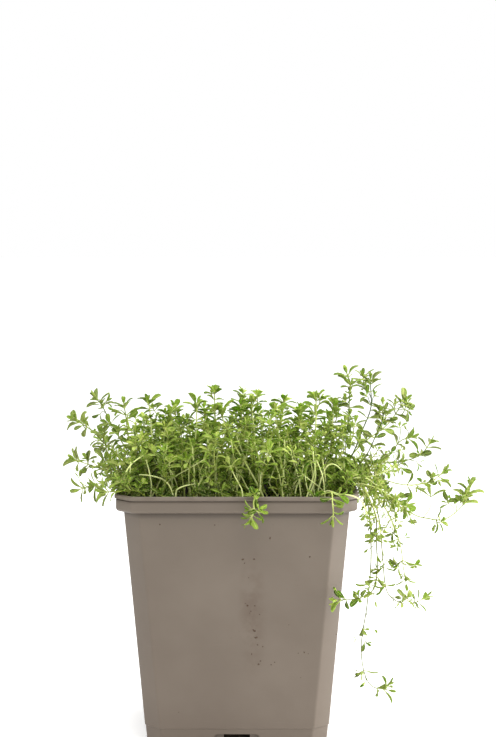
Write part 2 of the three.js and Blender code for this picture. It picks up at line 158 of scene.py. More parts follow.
class ThymeLeafSettings(bpy.types.PropertyGroup):
    """The leaves."""

    long: length("Length", "Length of a grown leaf without its stalk", 5.1)
    wide: length("Width", "Width of a grown leaf", 2.75)
    stalk: length("Stalk", "Length of a leaf's stalk", 0.9)
    thick: length("Thickness", "Thickness of a leaf", 0.22)
    pair_gap: length("Pair gap", "Gap between leaf pairs in the middle of a stem", 6.4)
    shoot_chance: amount("Side shoots", "Share of leaf joints that carry a side shoot", 0.26)
    deep: colour("Deep green", "Darkest leaves", 34, 52, 2)
    fresh: colour("Fresh green", "Most leaves", 110, 133, 40)
    bright: colour("Bright green", "Youngest leaves", 184, 196, 104)
    under: colour("Underside", "Paler underside", 132, 148, 66)
    olive: colour("Olive", "Duller leaves of the stems that reach past the pot's sides", 122, 124, 76)
    vein: colour("Midrib", "Pale midrib and stalk", 182, 192, 116)


class ThymeStageSettings(bpy.types.PropertyGroup):
    """Camera, light and floor."""

    camera_place: bpy.props.FloatVectorProperty(
        name="Camera", description="Place of the camera", default=(0.0052, -0.955, 0.2798), unit="LENGTH",
        subtype="TRANSLATION"
    )
    camera_pitch: bpy.props.FloatProperty(
        name="Camera pitch", description="How far the camera looks down", default=math.radians(6.35),
        unit="ROTATION", subtype="ANGLE"
    )
    lens: bpy.props.FloatProperty(
        name="Lens", description="Focal length on a 36 mm sensor", default=98.23, min=1.0, unit="CAMERA"
    )
    ambient: amount("Ambient", "Strength of the white surroundings", 1.0, high=5.0)
    key: amount("Right light", "Power of the soft light on the right", 9.5, high=100.0)
    top: amount("Top light", "Power of the soft light above and behind", 4.0, high=100.0)
    front: amount("Front light", "Power of the soft light above the camera", 5.0, high=100.0)
    floor: colour("Floor", "Plain pale floor", 250, 250, 250)


GROUPS = {
    "thyme_pot": ThymePotSizes,
    "thyme_pot_colours": ThymePotColours,
    "thyme_compost": ThymeCompostSettings,
    "thyme_stems": ThymeStemSettings,
    "thyme_leaves": ThymeLeafSettings,
    "thyme_stage": ThymeStageSettings,
}

# ---------------------------------------------------------------- where the stems run


def sprig(root, bare, route, twigs=(), **own):
    """A named stem: its root (x, y) in the compost, its share without leaves, and its route to its tip.

    twigs holds the tips of its side shoots, each with the size of its leaves. own may hold the size of the
    stem's own leaves and the gap between its leaf pairs, where they differ from those of its group.
    """
    return {"root": root, "bare": bare, "route": route, "twigs": twigs, **own}


LEFT = {
    "left_corner": sprig((-37, -43), 0.5, [(-45, -49, 122.3), (-53, -51, 122.8), (-60, -51, 122.6)],
        [(-50, -51, 129, 0.8), (-59, -46, 127, 0.9)]),
    "left_low": sprig((-44, -31), 0.5, [(-55, -31, 125), (-63.6, -32, 123.3), (-72.8, -33, 120.7)],
        [(-67.3, -29, 125.9, 1.1), (-64.5, -36, 120, 1.0), (-75.3, -28, 127.1, 1.0),
        (-67.6, -34, 122.5, 1.1), (-57, -25, 130, 1.0)], gap=1.5),
    "left_reach": sprig((-45, -19), 0.4, [(-57, -20, 126), (-68, -22, 129.9), (-75.8, -24, 133.3)],
        [(-68.5, -16, 131.4, 0.8), (-62.4, -25, 135.4, 1.2), (-71.5, -25, 128.5, 0.8),
        (-61.5, -14, 130.1, 1.0)], gap=1.4),
    "left_side": sprig((-45, -7), 0.35, [(-52, -8, 122), (-59.4, -10, 129.9), (-61.9, -11, 136.8),
        (-64.2, -12, 144.6)],
        [(-65.9, -15, 137.4, 1.1), (-61.6, -5, 136.4, 0.9), (-68.5, -8, 143.8, 0.9)], gap=1.5),
    "left_high": sprig((-43, 6), 0.35, [(-55, 5, 128), (-66, 4, 139), (-72.6, 2, 145), (-77.2, 0, 148.7)],
        [(-72.5, 4, 146.7, 0.8), (-67.9, -3, 143.8, 0.9), (-63.9, 8, 145.6, 1.0)], gap=1.4),
    "left_top": sprig((-39, 20), 0.3, [(-52, 17, 129), (-61, 13, 146), (-65, 11, 153), (-68.1, 10, 157.8)],
        [(-62.3, 14, 157.6, 0.8), (-67.8, 5, 150.2, 1.25), (-64.5, 16, 146.5, 1.1)], gap=1.3),
    "left_inner": sprig((-35, -26), 0.35, [(-45, -24, 130), (-51, -21, 146), (-53, -20, 159)],
        [(-57.7, -26, 157.9, 1.3), (-51.4, -14, 153, 1.0)], leaf=1.2, gap=1.1),
}

MIDDLE = {
    "mid_a": sprig((-35, -9), 0.4, [(-39, -9, 135), (-42, -10, 159)], leaf=1.15),
    "mid_b": sprig((-27, 9), 0.4, [(-31, 10, 133), (-33, 11, 151)]),
    "mid_c": sprig((-16, -27), 0.4, [(-19, -22, 136), (-19, -16, 159)]),
    "mid_d": sprig((-14, -3), 0.45, [(-11, 1, 138), (-11, 5, 162)], leaf=0.9),
    "mid_e": sprig((14, -38), 0.45, [(6, -36, 131), (-4, -32, 147), (-8, -28, 157.5)], leaf=1.15),
    "mid_f": sprig((0, 16), 0.4, [(2, 16, 135), (1.5, 16, 154)]),
    "mid_g": sprig((9, -8), 0.4, [(9, -8, 136), (7, -6, 157)]),
    "mid_h": sprig((24, -29), 0.4, [(20, -23, 138), (18, -14, 155.5)]),
    "mid_i": sprig((26, 6), 0.4, [(29, 8, 134), (30, 10, 151)]),
    "mid_j": sprig((31, -39), 0.5, [(35, -35, 128), (37, -28, 143), (37, -22, 162)], leaf=1.15),
    "mid_k": sprig((37, -8), 0.45, [(44, -7, 136), (46.5, -5, 156.5)]),
    "mid_l": sprig((35, 15), 0.4, [(43, 14, 134), (45, 12, 149)]),
}

RIGHT = {
    "right_front": sprig((37, -24), 0.4, [(47, -26, 132), (53, -27, 143), (55.1, -26, 151)],
        [(52.1, -31, 147.8, 1.1), (59, -20, 142.4, 1.1), (49.4, -28, 152.1, 1.1)], leaf=1.2),
    "right_tall": sprig((39, 3), 0.4, [(50, 2, 137), (54, 0, 155), (53.9, -1, 165.7), (52.5, -1, 171)],
        [(58.6, 3, 167.5, 0.9), (54.9, -6, 163.2, 1.15), (49.6, -3, 159.2, 1.0)]),
    "right_tallest": sprig((45, 19), 0.35, [(58, 15, 134), (64, 10, 151), (64.3, 8, 167.1)],
        [(61.1, 3, 161.4, 0.95), (67, 12, 161, 0.75), (61.4, 12, 165.1, 0.8)], gap=1.2),
    "right_mid": sprig((46, -11), 0.35, [(58, -11, 129), (66.4, -10, 142.9), (70, -8, 154.1)],
        [(69.6, -3, 158.7, 0.65), (65.9, -14, 144.2, 1.0), (73.6, -5, 149.9, 0.8)], leaf=1.15),
    "right_back": sprig((45, 26), 0.4, [(60, 23, 132), (73, 18, 144.3), (81.2, 14, 156)],
        [(84.2, 8, 151.5, 0.9), (76, 18, 143.3, 0.8)], gap=1.6),
    "spread_a": sprig((45, -17), 0.35, [(52, -18, 123), (62, -18, 129), (71.8, -16, 133.3),
        (77, -15, 140.6), (82.2, -14, 142.3)],
        [(80.5, -9, 146.6, 0.65), (76.7, -18, 149.7, 0.7), (72.3, -22, 137.3, 0.9),
        (70.2, -12, 129.8, 1.2)], gap=1.7),
    "spread_b": sprig((45, 1), 0.35, [(52, 2, 123), (62, 3, 127), (78, 3, 127.9), (88, 3, 131.3),
        (93.1, 4, 137.2)],
        [(87.8, -2, 133.5, 1.0), (89, 5, 125.8, 0.7), (78.4, 9, 132.8, 0.7), (76, 9, 121.5, 1.1),
        (80.4, -3, 124.5, 0.9)], gap=1.8),
    "spread_c": sprig((45, -5), 0.35, [(51.5, -5, 122), (60, -6, 123.5), (78, -9, 119), (91.3, -10, 120.3),
        (98.2, -10, 124.9)],
        [(92.2, -15, 125, 1.3), (97.8, -5, 119.9, 1.0), (88.7, -13, 117, 1.0), (90.2, -4, 119.3, 0.85),
        (70.6, -14, 120, 1.2), (86.6, -4, 115.9, 0.6)], gap=1.8),
    "spread_d": sprig((45, 13), 0.35, [(51.5, 13, 122), (59, 13, 122.8), (74.2, 9, 109), (85.4, 6, 101.6),
        (91.9, 5, 99.9), (99.6, 4, 99.6), (106.4, 3, 103.7), (110.6, 2, 109.7), (112.7, 2, 117.3)],
        [(102.7, 8, 111.1, 1.0), (100.1, -2, 110.4, 1.0), (94, 1, 114.8, 1.3), (105.6, -2, 111.7, 1.2),
        (109.2, 5, 113.8, 1.1), (96.6, 6, 95, 0.7), (79.8, 0, 111.3, 1.1)], gap=2.6),
    "spread_e": sprig((45, -31), 0.35, [(51.5, -31, 122), (58, -31, 123), (70, -32, 117),
        (79.3, -30, 112.8)],
        [(77.1, -35, 117.5, 1.1), (82.2, -30, 105, 0.9), (74.1, -25, 115.2, 1.0), (74.1, -38, 109.6, 0.9)]),
}

TRAILING = {
    "trail_front": sprig((45, -38), 0.3, [(51.5, -38, 122), (58, -38, 122.5), (65, -36, 109),
        (65.2, -34, 94.7), (64.7, -36, 80.9), (61.9, -42, 74.2), (55.2, -50, 72.9), (45.8, -55, 73.4)],
        [(64.7, -30, 75.3, 1), (60, -42, 75.6, 1), (64.2, -38, 66.7, 0.85), (54, -50, 75.1, 0.94),
        (65.3, -38, 88.4, 0.86), (68.9, -28, 94.9, 0.92), (61.7, -38, 96.4, 0.76), (60.4, -30, 90.5, 0.76),
        (61.4, -38, 103, 0.92), (66.1, -30, 103.8, 0.76), (44.2, -55, 77.8, 0.85), (43.4, -54, 71.2, 0.8)],
        gap=3.0),
    "trail_mid": sprig((45, -24), 0.3, [(51.5, -24, 122), (58.5, -24, 122.8), (69.7, -22, 109),
        (76, -20, 95.7), (78.4, -18, 88.1), (79.1, -16, 80.9), (80.4, -15, 72.5)],
        [(86.8, -12, 80.5, 0.9), (83.4, -18, 79.9, 0.76), (75.7, -22, 92.3, 0.76), (74.2, -16, 89.6, 0.82),
        (80.8, -16, 94.4, 0.82), (83.2, -24, 103.2, 0.86), (74.8, -19, 79.1, 1), (73, -26, 96.6, 0.85),
        (78.2, -12, 74.7, 0.77)], gap=2.6),
    "trail_curl": sprig((45, 7), 0.35, [(51.5, 7, 122), (58, 8, 122.4), (67, 7, 104), (70, 4, 84),
        (72.1, 2, 69.2), (74.5, 1, 62.3), (80.8, 1, 58.6), (87.1, 1, 59.8), (91.2, 1, 62)],
        [(70.9, -1, 65.9, 1), (74.2, 6, 76.7, 0.94), (78, 3, 61.1, 0.72), (86.1, -2, 62.2, 0.72),
        (88.5, 3, 57.1, 0.77), (63.6, 6, 61.4, 0.94), (65.1, 0, 74.6, 0.68)], gap=2.8),
    "trail_long": sprig((45, 33), 0.35, [(51.5, 33, 122), (58, 32, 122.5), (65, 29, 104), (66, 26, 79),
        (63.6, 21, 54), (61.5, 18, 36.5), (62.5, 16, 22.9), (66, 14, 14.5), (74.3, 14, 12.3)],
        [(57.8, 18, 36.5, 0.68), (62.7, 22, 38.5, 0.77), (68.3, 16, 41, 0.68), (64, 14, 34.5, 0.85),
        (62.4, 10, 14.9, 1.15), (76.4, 16, 15.3, 1.0)], leaf=1.2, gap=3.6),
}

RIM = {
    "front_mid": sprig((12, -45), 0.6, [(10, -51, 122.2), (8.6, -58, 121.5), (7.9, -61.5, 117.1),
        (6.6, -62, 112.2)],
        [(5.2, -58, 121.5, 0.85), (10.6, -58, 123.3, 0.9), (4.7, -61.5, 115.7, 0.9),
        (12.4, -61.5, 113.9, 0.95), (3.0, -60.5, 108.2, 0.6)]),
    "front_right": sprig((40, -45), 0.75, [(42, -51, 122.2), (43.7, -58, 121.8), (43.7, -61.5, 117.1),
        (43.4, -62, 112.4)],
        [(39.2, -56, 122.6, 0.9), (45.3, -60.5, 116.9, 0.9), (49.1, -57, 121.4, 1.0)], leaf=1.1, gap=1.9),
    "back_left": sprig((-22, 44), 0.35, [(-24, 51.5, 123), (-29, 61, 127), (-33, 69, 134)],
        [(-26, 62, 132, 0.9), (-33, 60, 126, 0.9)]),
    "back_right": sprig((20, 44), 0.35, [(22, 51.5, 122.5), (27, 60, 124.5), (33, 69, 123)],
        [(31, 60, 128, 0.9), (26, 66, 120, 0.8)]),
}

# Pale strands with few leaves that cross the dark foot of the bush, each from above its root to its tip.
STRANDS = [
    [(5.7, -34, 119.7), (4.7, -33, 122.3), (-1.8, -30, 132.2), (-7.8, -28, 141.3)],
    [(21.9, -36, 117.7), (20.9, -36, 121.9), (18.2, -33, 131.2), (14, -30, 140.1)],
    [(27.2, -34, 118.2), (29.4, -32, 125.9), (31.9, -30, 134.5)],
    [(-10.2, -30, 119), (-9, -27, 135.9), (-8.4, -24, 148.7)],
    [(-21.7, -36, 118.1), (-21.9, -34, 130), (-21, -31, 142.6)],
    [(-47, -42, 116), (-50.5, -44, 120.5), (-52, -45.5, 127.5), (-48.9, -44, 133.5), (-43.1, -40, 137.9)],
    [(-28.8, -42, 118.7), (-32.1, -41, 125.1), (-38.1, -40, 127.9), (-45.6, -38, 128.3),
     (-49.7, -38, 127.4)],
    [(-28.3, -44, 120.5), (-26.5, -44, 123), (-21.9, -42, 124.3), (-12.8, -38, 125)],
    [(-33.4, -32, 117.4), (-34.4, -30, 128.4), (-34.9, -28, 138.9)],
    [(21.4, -38, 120.3), (21.2, -36, 129.4), (20, -34, 137.5)],
    [(37, -35, 118), (41, -34, 130), (45.1, -33, 132.6), (49.8, -32, 128.2), (55.5, -30, 122.5),
     (60, -29, 116)],
    [(37, -43, 118), (41, -45.5, 122), (46, -52, 121.9), (52.5, -54.5, 121.6), (57, -52, 118.4),
     (59.5, -50, 112)],
    [(0.1, -36, 117.7), (0.6, -33, 126.5), (4.3, -30, 136.4), (5.2, -27, 144.9)],
    [(11.7, -36, 118.6), (9.8, -34, 130), (7.1, -30, 138.7)],
    [(-14.7, -38, 118), (-15.6, -36, 126.6), (-18.9, -34, 133.7), (-21.7, -32, 138.1)],
    [(-40.1, -38, 118.5), (-39.7, -36, 126.6), (-42.1, -33, 134.5)],
    [(39.9, -38, 119.4), (40.8, -36, 126.6), (39.5, -33, 136.9)],
]
UPRIGHT_STRANDS = 30  # more of them, nearly straight, in the front half

# Root (x, y) and tip (x, y, z) of the stems that fill the bush between the others.
TUFT = [
    ((4.74, -1.18), (1.91, 0.73, 153.36)),
    ((-5.02, 4.97), (-4.23, 4.61, 146.57)),
    ((0.34, -10.89), (4.24, -16.80, 149.04)),
    ((8.23, 9.41), (6.79, 10.47, 151.61)),
    ((-7.35, -16.63), (-12.86, -23.54, 145.65)),
    ((-19.38, 8.05), (-23.92, 13.60, 147.00)),
    ((9.27, -18.68), (16.23, -26.93, 154.04)),
    ((5.84, 21.30), (9.83, 26.42, 149.24)),
    ((-21.08, -13.38), (-27.16, -16.30, 148.52)),
    ((25.77, -5.45), (37.11, -4.46, 153.12)),
    ((-14.15, 22.06), (-16.49, 25.50, 151.15)),
    ((20.25, 18.27), (30.77, 20.51, 151.21)),
    ((-1.08, 31.14), (2.46, 40.48, 153.02)),
    ((-26.84, 19.07), (-30.87, 29.26, 150.95)),
    ((18.18, 30.58), (23.61, 42.36, 152.78)),
    ((-14.00, 31.81), (-15.76, 37.12, 145.64)),
    ((-10.93, -35.74), (-9.81, -42.64, 145.53)),
]
TUFT_BEND = (0.45, 0.55)  # a tuft stem is this share of the way out at this share of its height
TUFT_BARE = 0.5

# Three kinds of fine stem: arching, upright and short. Each takes the draws from 0 to 1 up to its "upto".
# Then come how far it leans, its height and what the back adds to that, its share without leaves, the gap
# between its leaf pairs, and the tints of its leaves and stem. A pair of numbers is a range to draw from.
FINE_KINDS = (
    {"upto": 0.25, "wild": 11, "tall": (18, 36), "back": 4, "bare": 0.8, "gap": 0.85, "tint": (0.2, 0.85),
     "pale": (0.6, 1.0)},
    {"upto": 0.62, "wild": 6, "tall": (18, 36), "back": 4, "bare": (0.35, 0.6), "gap": 0.85,
     "tint": (0.2, 0.85), "pale": (0.0, 0.5)},
    {"upto": 1.0, "wild": 6, "tall": (7, 17), "back": 0, "bare": 0.1, "gap": 0.6, "tint": (0.1, 0.5),
     "pale": (0.0, 0.5)},
)
FINE_PIECES = 6  # the fine stems are shared out to these, from left to right
FINE_REACH = 46.5  # how far from the middle a fine stem may stand
FINE_CUT = 7  # leg of the cut across the corners of that square
FINE_FAN = (8, 7)  # how far the outermost ones lean out to the side, and to the front or back
FINE_BEND = (0.4, 0.55)  # a fine stem is this share of the way out at this share of its height
FINE_TIP_REACH = 56  # how far from the middle its tip may be
FINE_TIP_FRONT = -50  # how far forward its tip may be
BACK_PART = 25  # stems further back than this count as the back ones
CORNER_TRIES = 46  # tries at a short stem in each front corner
CORNER_REACH = 93  # how much such a stem's distances to the side and to the front may add up to

# Fine stems that spill over a side of the rim: which way is out, how many there are, how far and how high
# from the rim their tips are, where along the side they stand, the size of their leaves and their tints.
SPILLS = {
    "right": {"out": (1, 0), "count": 25, "far": (3, 25), "high": (-24, 11), "along": (-44, 36), "leaf": 0.7,
              "tints": (0.5, 0.95)},
    "left": {"out": (-1, 0), "count": 8, "far": (2, 12), "high": (-3, 16), "along": (-47, 30), "leaf": 0.95,
             "tints": (0.35, 0.8)},
    "back": {"out": (0, 1), "count": 22, "far": (2, 12), "high": (-8, 20), "along": (-38, 38), "leaf": 0.85,
             "tints": (0.35, 0.8)},
}

INSIDE_RIM = 51.5  # how far out a spilling stem is where it rises past the rim
OUTSIDE_RIM = 56.5  # how far out it is where it is clear of the rim

# Specks of compost on the pot's front: across, height and size.
SPECKS = [
    (15.3, 101.3, 1.19), (3.0, 91.2, 1.0), (3.6, 89.4, 0.75), (8.0, 91.3, 1.06), (33.5, 92.4, 0.88),
    (4.9, 69.2, 0.94), (8.3, 69.1, 0.75), (8.3, 57.1, 1.19), (8.7, 53.8, 1.12), (9.6, 50.4, 0.75),
    (6.9, 45.9, 0.81), (10.1, 41.0, 0.94), (15.9, 40.8, 0.62), (31.2, 46.7, 0.88), (28.4, 46.3, 0.56),
    (33.0, 46.1, 0.5), (6.0, 65.6, 0.5), (10.5, 65.0, 0.56), (-35.0, 107.7, 0.75), (-10.0, 107.4, 0.62),
    (29.6, 34.5, 0.5), (-27.0, 17.7, 0.44), (24.0, 60.0, 0.44), (4.0, 70.2, 0.7), (7.6, 57.6, 0.8),
    (9.2, 53.9, 0.9), (12.0, 49.5, 0.7), (11.0, 42.6, 0.8), (17.5, 41.9, 0.6), (2.6, 91.2, 0.9),
    (45.9, 55.5, 0.5), (5.5, 82.5, 0.5), (6.5, 66.5, 0.6),
]

# ---------------------------------------------------------------- handling meshes


def deselect():
    """Leaves edit mode and deselects every object."""
    if bpy.context.object and bpy.context.object.mode != "OBJECT":
        bpy.ops.object.mode_set(mode="OBJECT")
    bpy.ops.object.select_all(action="DESELECT")


def only(piece):
    """Makes a piece the only selected object and the active one, in object mode."""
    deselect()
    piece.select_set(True)
    bpy.context.view_layer.objects.active = piece


def begin(name):
    """Names the primitive just added and opens it in edit mode."""
    piece = bpy.context.object
    piece.name = piece.data.name = name
    bpy.ops.object.mode_set(mode="EDIT")
    return piece


def pick(kind, test):
    """In edit mode, selects the vertices, edges or faces that pass the test."""
    bpy.ops.mesh.select_mode(type=kind)
    bpy.ops.mesh.select_all(action="DESELECT")
    mesh = bmesh.from_edit_mesh(bpy.context.object.data)
    for part in {"VERT": mesh.verts, "EDGE": mesh.edges, "FACE": mesh.faces}[kind]:
        if test(part):
            part.select_set(True)
    mesh.select_flush_mode()
    bmesh.update_edit_mesh(bpy.context.object.data)


def face_outwards():
    """In edit mode, turns every face of a closed mesh outwards."""
    bpy.ops.mesh.select_all(action="SELECT")
    bpy.ops.mesh.normals_make_consistent(inside=False)


def settle(piece):
    """Puts a piece's place, turn and scale into its mesh."""
    only(piece)
    bpy.ops.object.transform_apply(location=True, rotation=True, scale=True)


def copy_at(piece, matrix):
    """A copy of a piece with its own mesh, at a place given as a matrix."""
    copy = piece.copy()
    copy.data = piece.data.copy()
    copy.matrix_world = matrix
    bpy.context.scene.collection.objects.link(copy)
    return copy


def turned_copy(piece, angle):
    """A copy of a piece with its own mesh, turned round the pot's axis."""
    copy = copy_at(piece, piece.matrix_world)
    copy.rotation_euler.z = angle
    settle(copy)
    return copy


def join(piece, others):
    """Joins other objects to a piece."""
    only(piece)
    for other in others:
        other.select_set(True)
    bpy.ops.object.join()


def apply_modifier(piece, kind, **settings):
    """Adds a modifier to a piece and applies it."""
    only(piece)
    modifier = piece.modifiers.new(kind.title(), kind)
    for key, value in settings.items():
        setattr(modifier, key, value)
    bpy.ops.object.modifier_apply(modifier=modifier.name)


def combine(piece, other, operation):
    """Joins another solid to a piece, or cuts it out of it, and deletes the other solid."""
    apply_modifier(piece, "BOOLEAN", object=other, operation=operation, solver="EXACT")
    bpy.data.objects.remove(other)


def dress(piece, material, sharp):
    """Gives a piece its material, and smooth shading but at edges sharper than an angle in degrees."""
    only(piece)
    bpy.ops.object.shade_smooth_by_angle(angle=math.radians(sharp))
    piece.data.materials.clear()
    piece.data.materials.append(material)


def place_piece(piece, slot, *nodes):
    """Ties a finished piece to the model: what it rides on and the nodes it stands for, which it hides. slot
    is not used.
    """
    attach(piece, "root")
    if nodes:
        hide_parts(*nodes)


# ---------------------------------------------------------------- materials


class Paint:
    """A material in the making: one Principled shader, the colour so far and the nodes that feed them."""

    def __init__(self, name, roughness, specular):
        self.material = bpy.data.materials.new(name)
        self.material.use_nodes = True
        self.tree = self.material.node_tree
        self.shader = self.tree.nodes["Principled BSDF"]
        self.shade({"Roughness": roughness, "Specular IOR Level": specular})
        self.place = self.node("ShaderNodeTexCoord").outputs["Object"]
        self.base = None

    def feed(self, node, inputs):
        """Links or sets a node's inputs."""
        for key, value in inputs.items():
            if isinstance(value, bpy.types.NodeSocket):
                self.tree.links.new(value, node.inputs[key])
            else:
                node.inputs[key].default_value = value

    def shade(self, inputs):
        """Links or sets the shader's inputs."""
        self.feed(self.shader, inputs)

    def node(self, kind, inputs=None, **settings):
        """A node with its settings made and its inputs linked or set."""
        node = self.tree.nodes.new(kind)
        for key, value in settings.items():
            setattr(node, key, value)
        self.feed(node, inputs or {})
        return node

    def axis(self, name, place=None):
        """One axis of a place, or of the piece's own coordinates."""
        inputs = {0: self.place if place is None else place}
        return self.node("ShaderNodeSeparateXYZ", inputs).outputs[name]

    def mapped(self, place, **settings):
        """A place moved by a Location or stretched by a Scale."""
        return self.node("ShaderNodeMapping", {"Vector": place, **settings}).outputs[0]

    def noise(self, scale, detail=4.0, roughness=0.55, distortion=0.0, place=None):
        """Noise from 0 to 1, its scale per metre."""
        inputs = {"Vector": self.place if place is None else place, "Scale": scale, "Detail": detail}
        inputs.update({"Roughness": roughness, "Distortion": distortion})
        return self.node("ShaderNodeTexNoise", inputs).outputs["Fac"]

    def span(self, value, low, high, to_low=0.0, to_high=1.0):
        """A value moved from one range to another and held within it."""
        inputs = {"Value": value, "From Min": low, "From Max": high, "To Min": to_low, "To Max": to_high}
        return self.node("ShaderNodeMapRange", inputs, clamp=True).outputs["Result"]

    def maths(self, operation, first, second=0.0):
        """The result of an operation on one or two values."""
        return self.node("ShaderNodeMath", {0: first, 1: second}, operation=operation).outputs[0]

    def times(self, first, second):
        """Two values multiplied."""
        return self.maths("MULTIPLY", first, second)

    def attribute(self, name):
        """A value that the mesh carries at its points."""
        return self.node("ShaderNodeAttribute", attribute_name=name).outputs["Fac"]

    def coat(self, colour, share=None):
        """Starts with a colour, or mixes a share of it over what is there."""
        if share is None:
            self.base = colour[:]
        else:
            inputs = {0: share, 6: self.base, 7: colour[:]}
            self.base = self.node("ShaderNodeMix", inputs, data_type="RGBA").outputs[2]

    def glow(self, weight, reach, scale):
        """Lets light shine through: how much, how far each of its colours reaches, and a scale in metres."""
        self.shade({"Subsurface Weight": weight, "Subsurface Radius": reach, "Subsurface Scale": scale})

    def finish(self, relief, deep):
        """The material with its colour, and with a relief as deep as deep, in metres."""
        bump = self.node("ShaderNodeBump", {"Height": relief, "Strength": 1.0, "Distance": deep})
        self.shade({"Base Color": self.base, "Normal": bump.outputs["Normal"]})
        return self.material


def plastic_material(sizes, colours):
    """Moulded taupe plastic: faintly clouded, dusty, with a brown trace down the front and a fine grain."""
    paint = Paint("taupe_plastic", 0.5, 0.3)
    level = paint.axis("Z")
    clouds = paint.noise(26.0, 3.0)
    paint.coat(colours.low)
    paint.coat(colours.plastic, paint.span(level, 0.0, 0.105))
    paint.coat(colours.dust_and_highlight, paint.span(clouds, 0.42, 0.72, 0.0, 0.35))
    # the brown trace: a long soft patch on the front, broken up by noise
    centred = paint.mapped(paint.place, Location=(-0.0072, 0.046, -0.066))
    stretched = paint.mapped(centred, Scale=(135.0, 60.0, 27.0))
    patch = paint.node("ShaderNodeTexGradient", {"Vector": stretched}, gradient_type="SPHERICAL")
    broken = paint.span(paint.noise(160.0, 5.0, 0.6), 0.36, 0.62)
    paint.coat(colours.stain, paint.times(paint.span(patch.outputs["Fac"], 0.0, 0.8, 0.0, 0.55), broken))
    # painted shade under the shoulder and under the bead: a dark band below each step that fades downwards
    bead_foot = sizes.height - sizes.bead_height
    for step, deep, strength in ((sizes.shoulder, 2.8 * MM, 0.72), (bead_foot - SOFT, 1.4 * MM, 0.4)):
        below = paint.span(level, step - deep, step, 0.0, strength)
        above = paint.span(level, step + 0.1 * MM, step + 0.6 * MM, 1.0, 0.0)
        paint.coat(colours.painted_shade, paint.times(below, above))
    # the bead is painted paler in uneven patches: a painted highlight along its lit top
    bead = paint.span(level, bead_foot, sizes.height - sizes.bead_height / 2)
    paint.coat(colours.dust_and_highlight, paint.times(bead, paint.span(paint.noise(130.0, 3.0), 0.38, 0.62, 0.0, 0.5)))
    # small splashes and short level scuffs
    paint.coat(colours.stain, paint.span(paint.noise(420.0, 3.0, 0.7), 0.69, 0.75, 0.0, 0.3))
    scuffs = paint.noise(1.0, place=paint.mapped(paint.place, Scale=(60.0, 60.0, 900.0)))
    paint.coat(colours.dust_and_highlight, paint.span(scuffs, 0.66, 0.72, 0.0, 0.12))
    paint.shade({"Roughness": paint.span(clouds, 0.3, 0.7, 0.42, 0.56)})
    grain = paint.times(paint.noise(2600.0, 2.0), 0.06)
    return paint.finish(paint.maths("ADD", grain, paint.noise(55.0, 2.0)), 0.35 * MM)


def compost_material(settings):
    """Dark peat with drier fibres and bark."""
    paint = Paint("compost", 0.95, 0.2)
    lumps = paint.noise(320.0, 8.0, 0.7)
    fibres = paint.noise(1400.0, 6.0, 0.6, 1.5)
    paint.coat(settings.dark)
    paint.coat(settings.light, paint.times(paint.span(lumps, 0.45, 0.7), paint.span(fibres, 0.35, 0.7)))
    return paint.finish(paint.maths("ADD", lumps, paint.times(fibres, 0.4)), 0.9 * MM)


def speck_material(colours):
    """Dried specks of compost."""
    paint = Paint("dried_speck", 0.9, 0.2)
    grain = paint.noise(1500.0, 4.0)
    paint.coat(colours.speck)
    paint.coat(colours.stain, paint.span(grain, 0.35, 0.65))
    return paint.finish(grain, 0.2 * MM)


def leaf_material(leaves):
    """A leaf: greens by tint, a pale midrib and side veins, a paler underside, and light shining through."""
    paint = Paint("thyme_leaf", 0.55, 0.06)
    sheet = paint.node("ShaderNodeUVMap", uv_map="leaf").outputs[0]
    across, along = paint.axis("X", sheet), paint.axis("Y", sheet)
    mottle = paint.span(paint.noise(700.0, 3.0), 0.3, 0.7, -0.12, 0.12)
    shade = paint.maths("ADD", paint.attribute("tint"), mottle)
    paint.coat(leaves.deep)
    paint.coat(leaves.fresh, paint.span(shade, 0.0, 0.5))
    paint.coat(leaves.bright, paint.span(shade, 0.5, 1.0))
    # leaves are duller past the pot's left and right sides
    aside = paint.maths("ABSOLUTE", paint.axis("X"))
    paint.coat(leaves.olive, paint.span(aside, 46 * MM, 64 * MM, 0.0, 0.5))
    off_middle = paint.maths("ABSOLUTE", paint.maths("SUBTRACT", across, 0.5))
    midrib = paint.span(off_middle, 0.02, 0.1, 0.65, 0.0)
    slant = paint.maths("SUBTRACT", along, paint.times(off_middle, 0.55))
    side_veins = paint.span(paint.maths("SINE", paint.times(slant, 34.0)), 0.75, 1.0, 0.0, 0.22)
    stalk = paint.span(along, 0.12, 0.34, 0.8, 0.0)
    veins = paint.maths("MAXIMUM", paint.maths("MAXIMUM", midrib, side_veins), stalk)
    paint.coat(leaves.vein, veins)
    paint.coat(leaves.under, paint.times(paint.attribute("under"), 0.5))
    paint.glow(0.35, (0.6, 1.0, 0.25), 1.2 * MM)
    glands = paint.times(paint.noise(3200.0, 2.0), 0.3)
    return paint.finish(paint.maths("SUBTRACT", glands, veins), 0.12 * MM)


def stem_material(stems, edge):
    """A stem: pale low down, greener above, woody in places at the compost, with a fine relief of hairs."""
    paint = Paint("thyme_stem", 0.6, 0.06)
    level, tint = paint.axis("Z"), paint.attribute("tint")
    patches = paint.span(paint.noise(160.0, 3.0), 0.3, 0.7, -0.15, 0.15)
    high = paint.span(level, edge + 10 * MM, edge + 45 * MM, 0.1, -0.2)
    shade = paint.maths("ADD", paint.maths("ADD", tint, patches), high)
    paint.coat(stems.deep)
    paint.coat(stems.green, paint.span(shade, 0.0, 0.5))
    paint.coat(stems.pale, paint.span(shade, 0.5, 1.0))
    low = paint.span(level, edge, edge + 14 * MM, 0.7, 0.0)
    paint.coat(stems.woody, paint.times(low, paint.span(tint, 0.7, 0.3)))
    paint.glow(0.15, (0.6, 1.0, 0.3), 1.0 * MM)
    return paint.finish(paint.noise(2800.0, 3.0), 0.08 * MM)


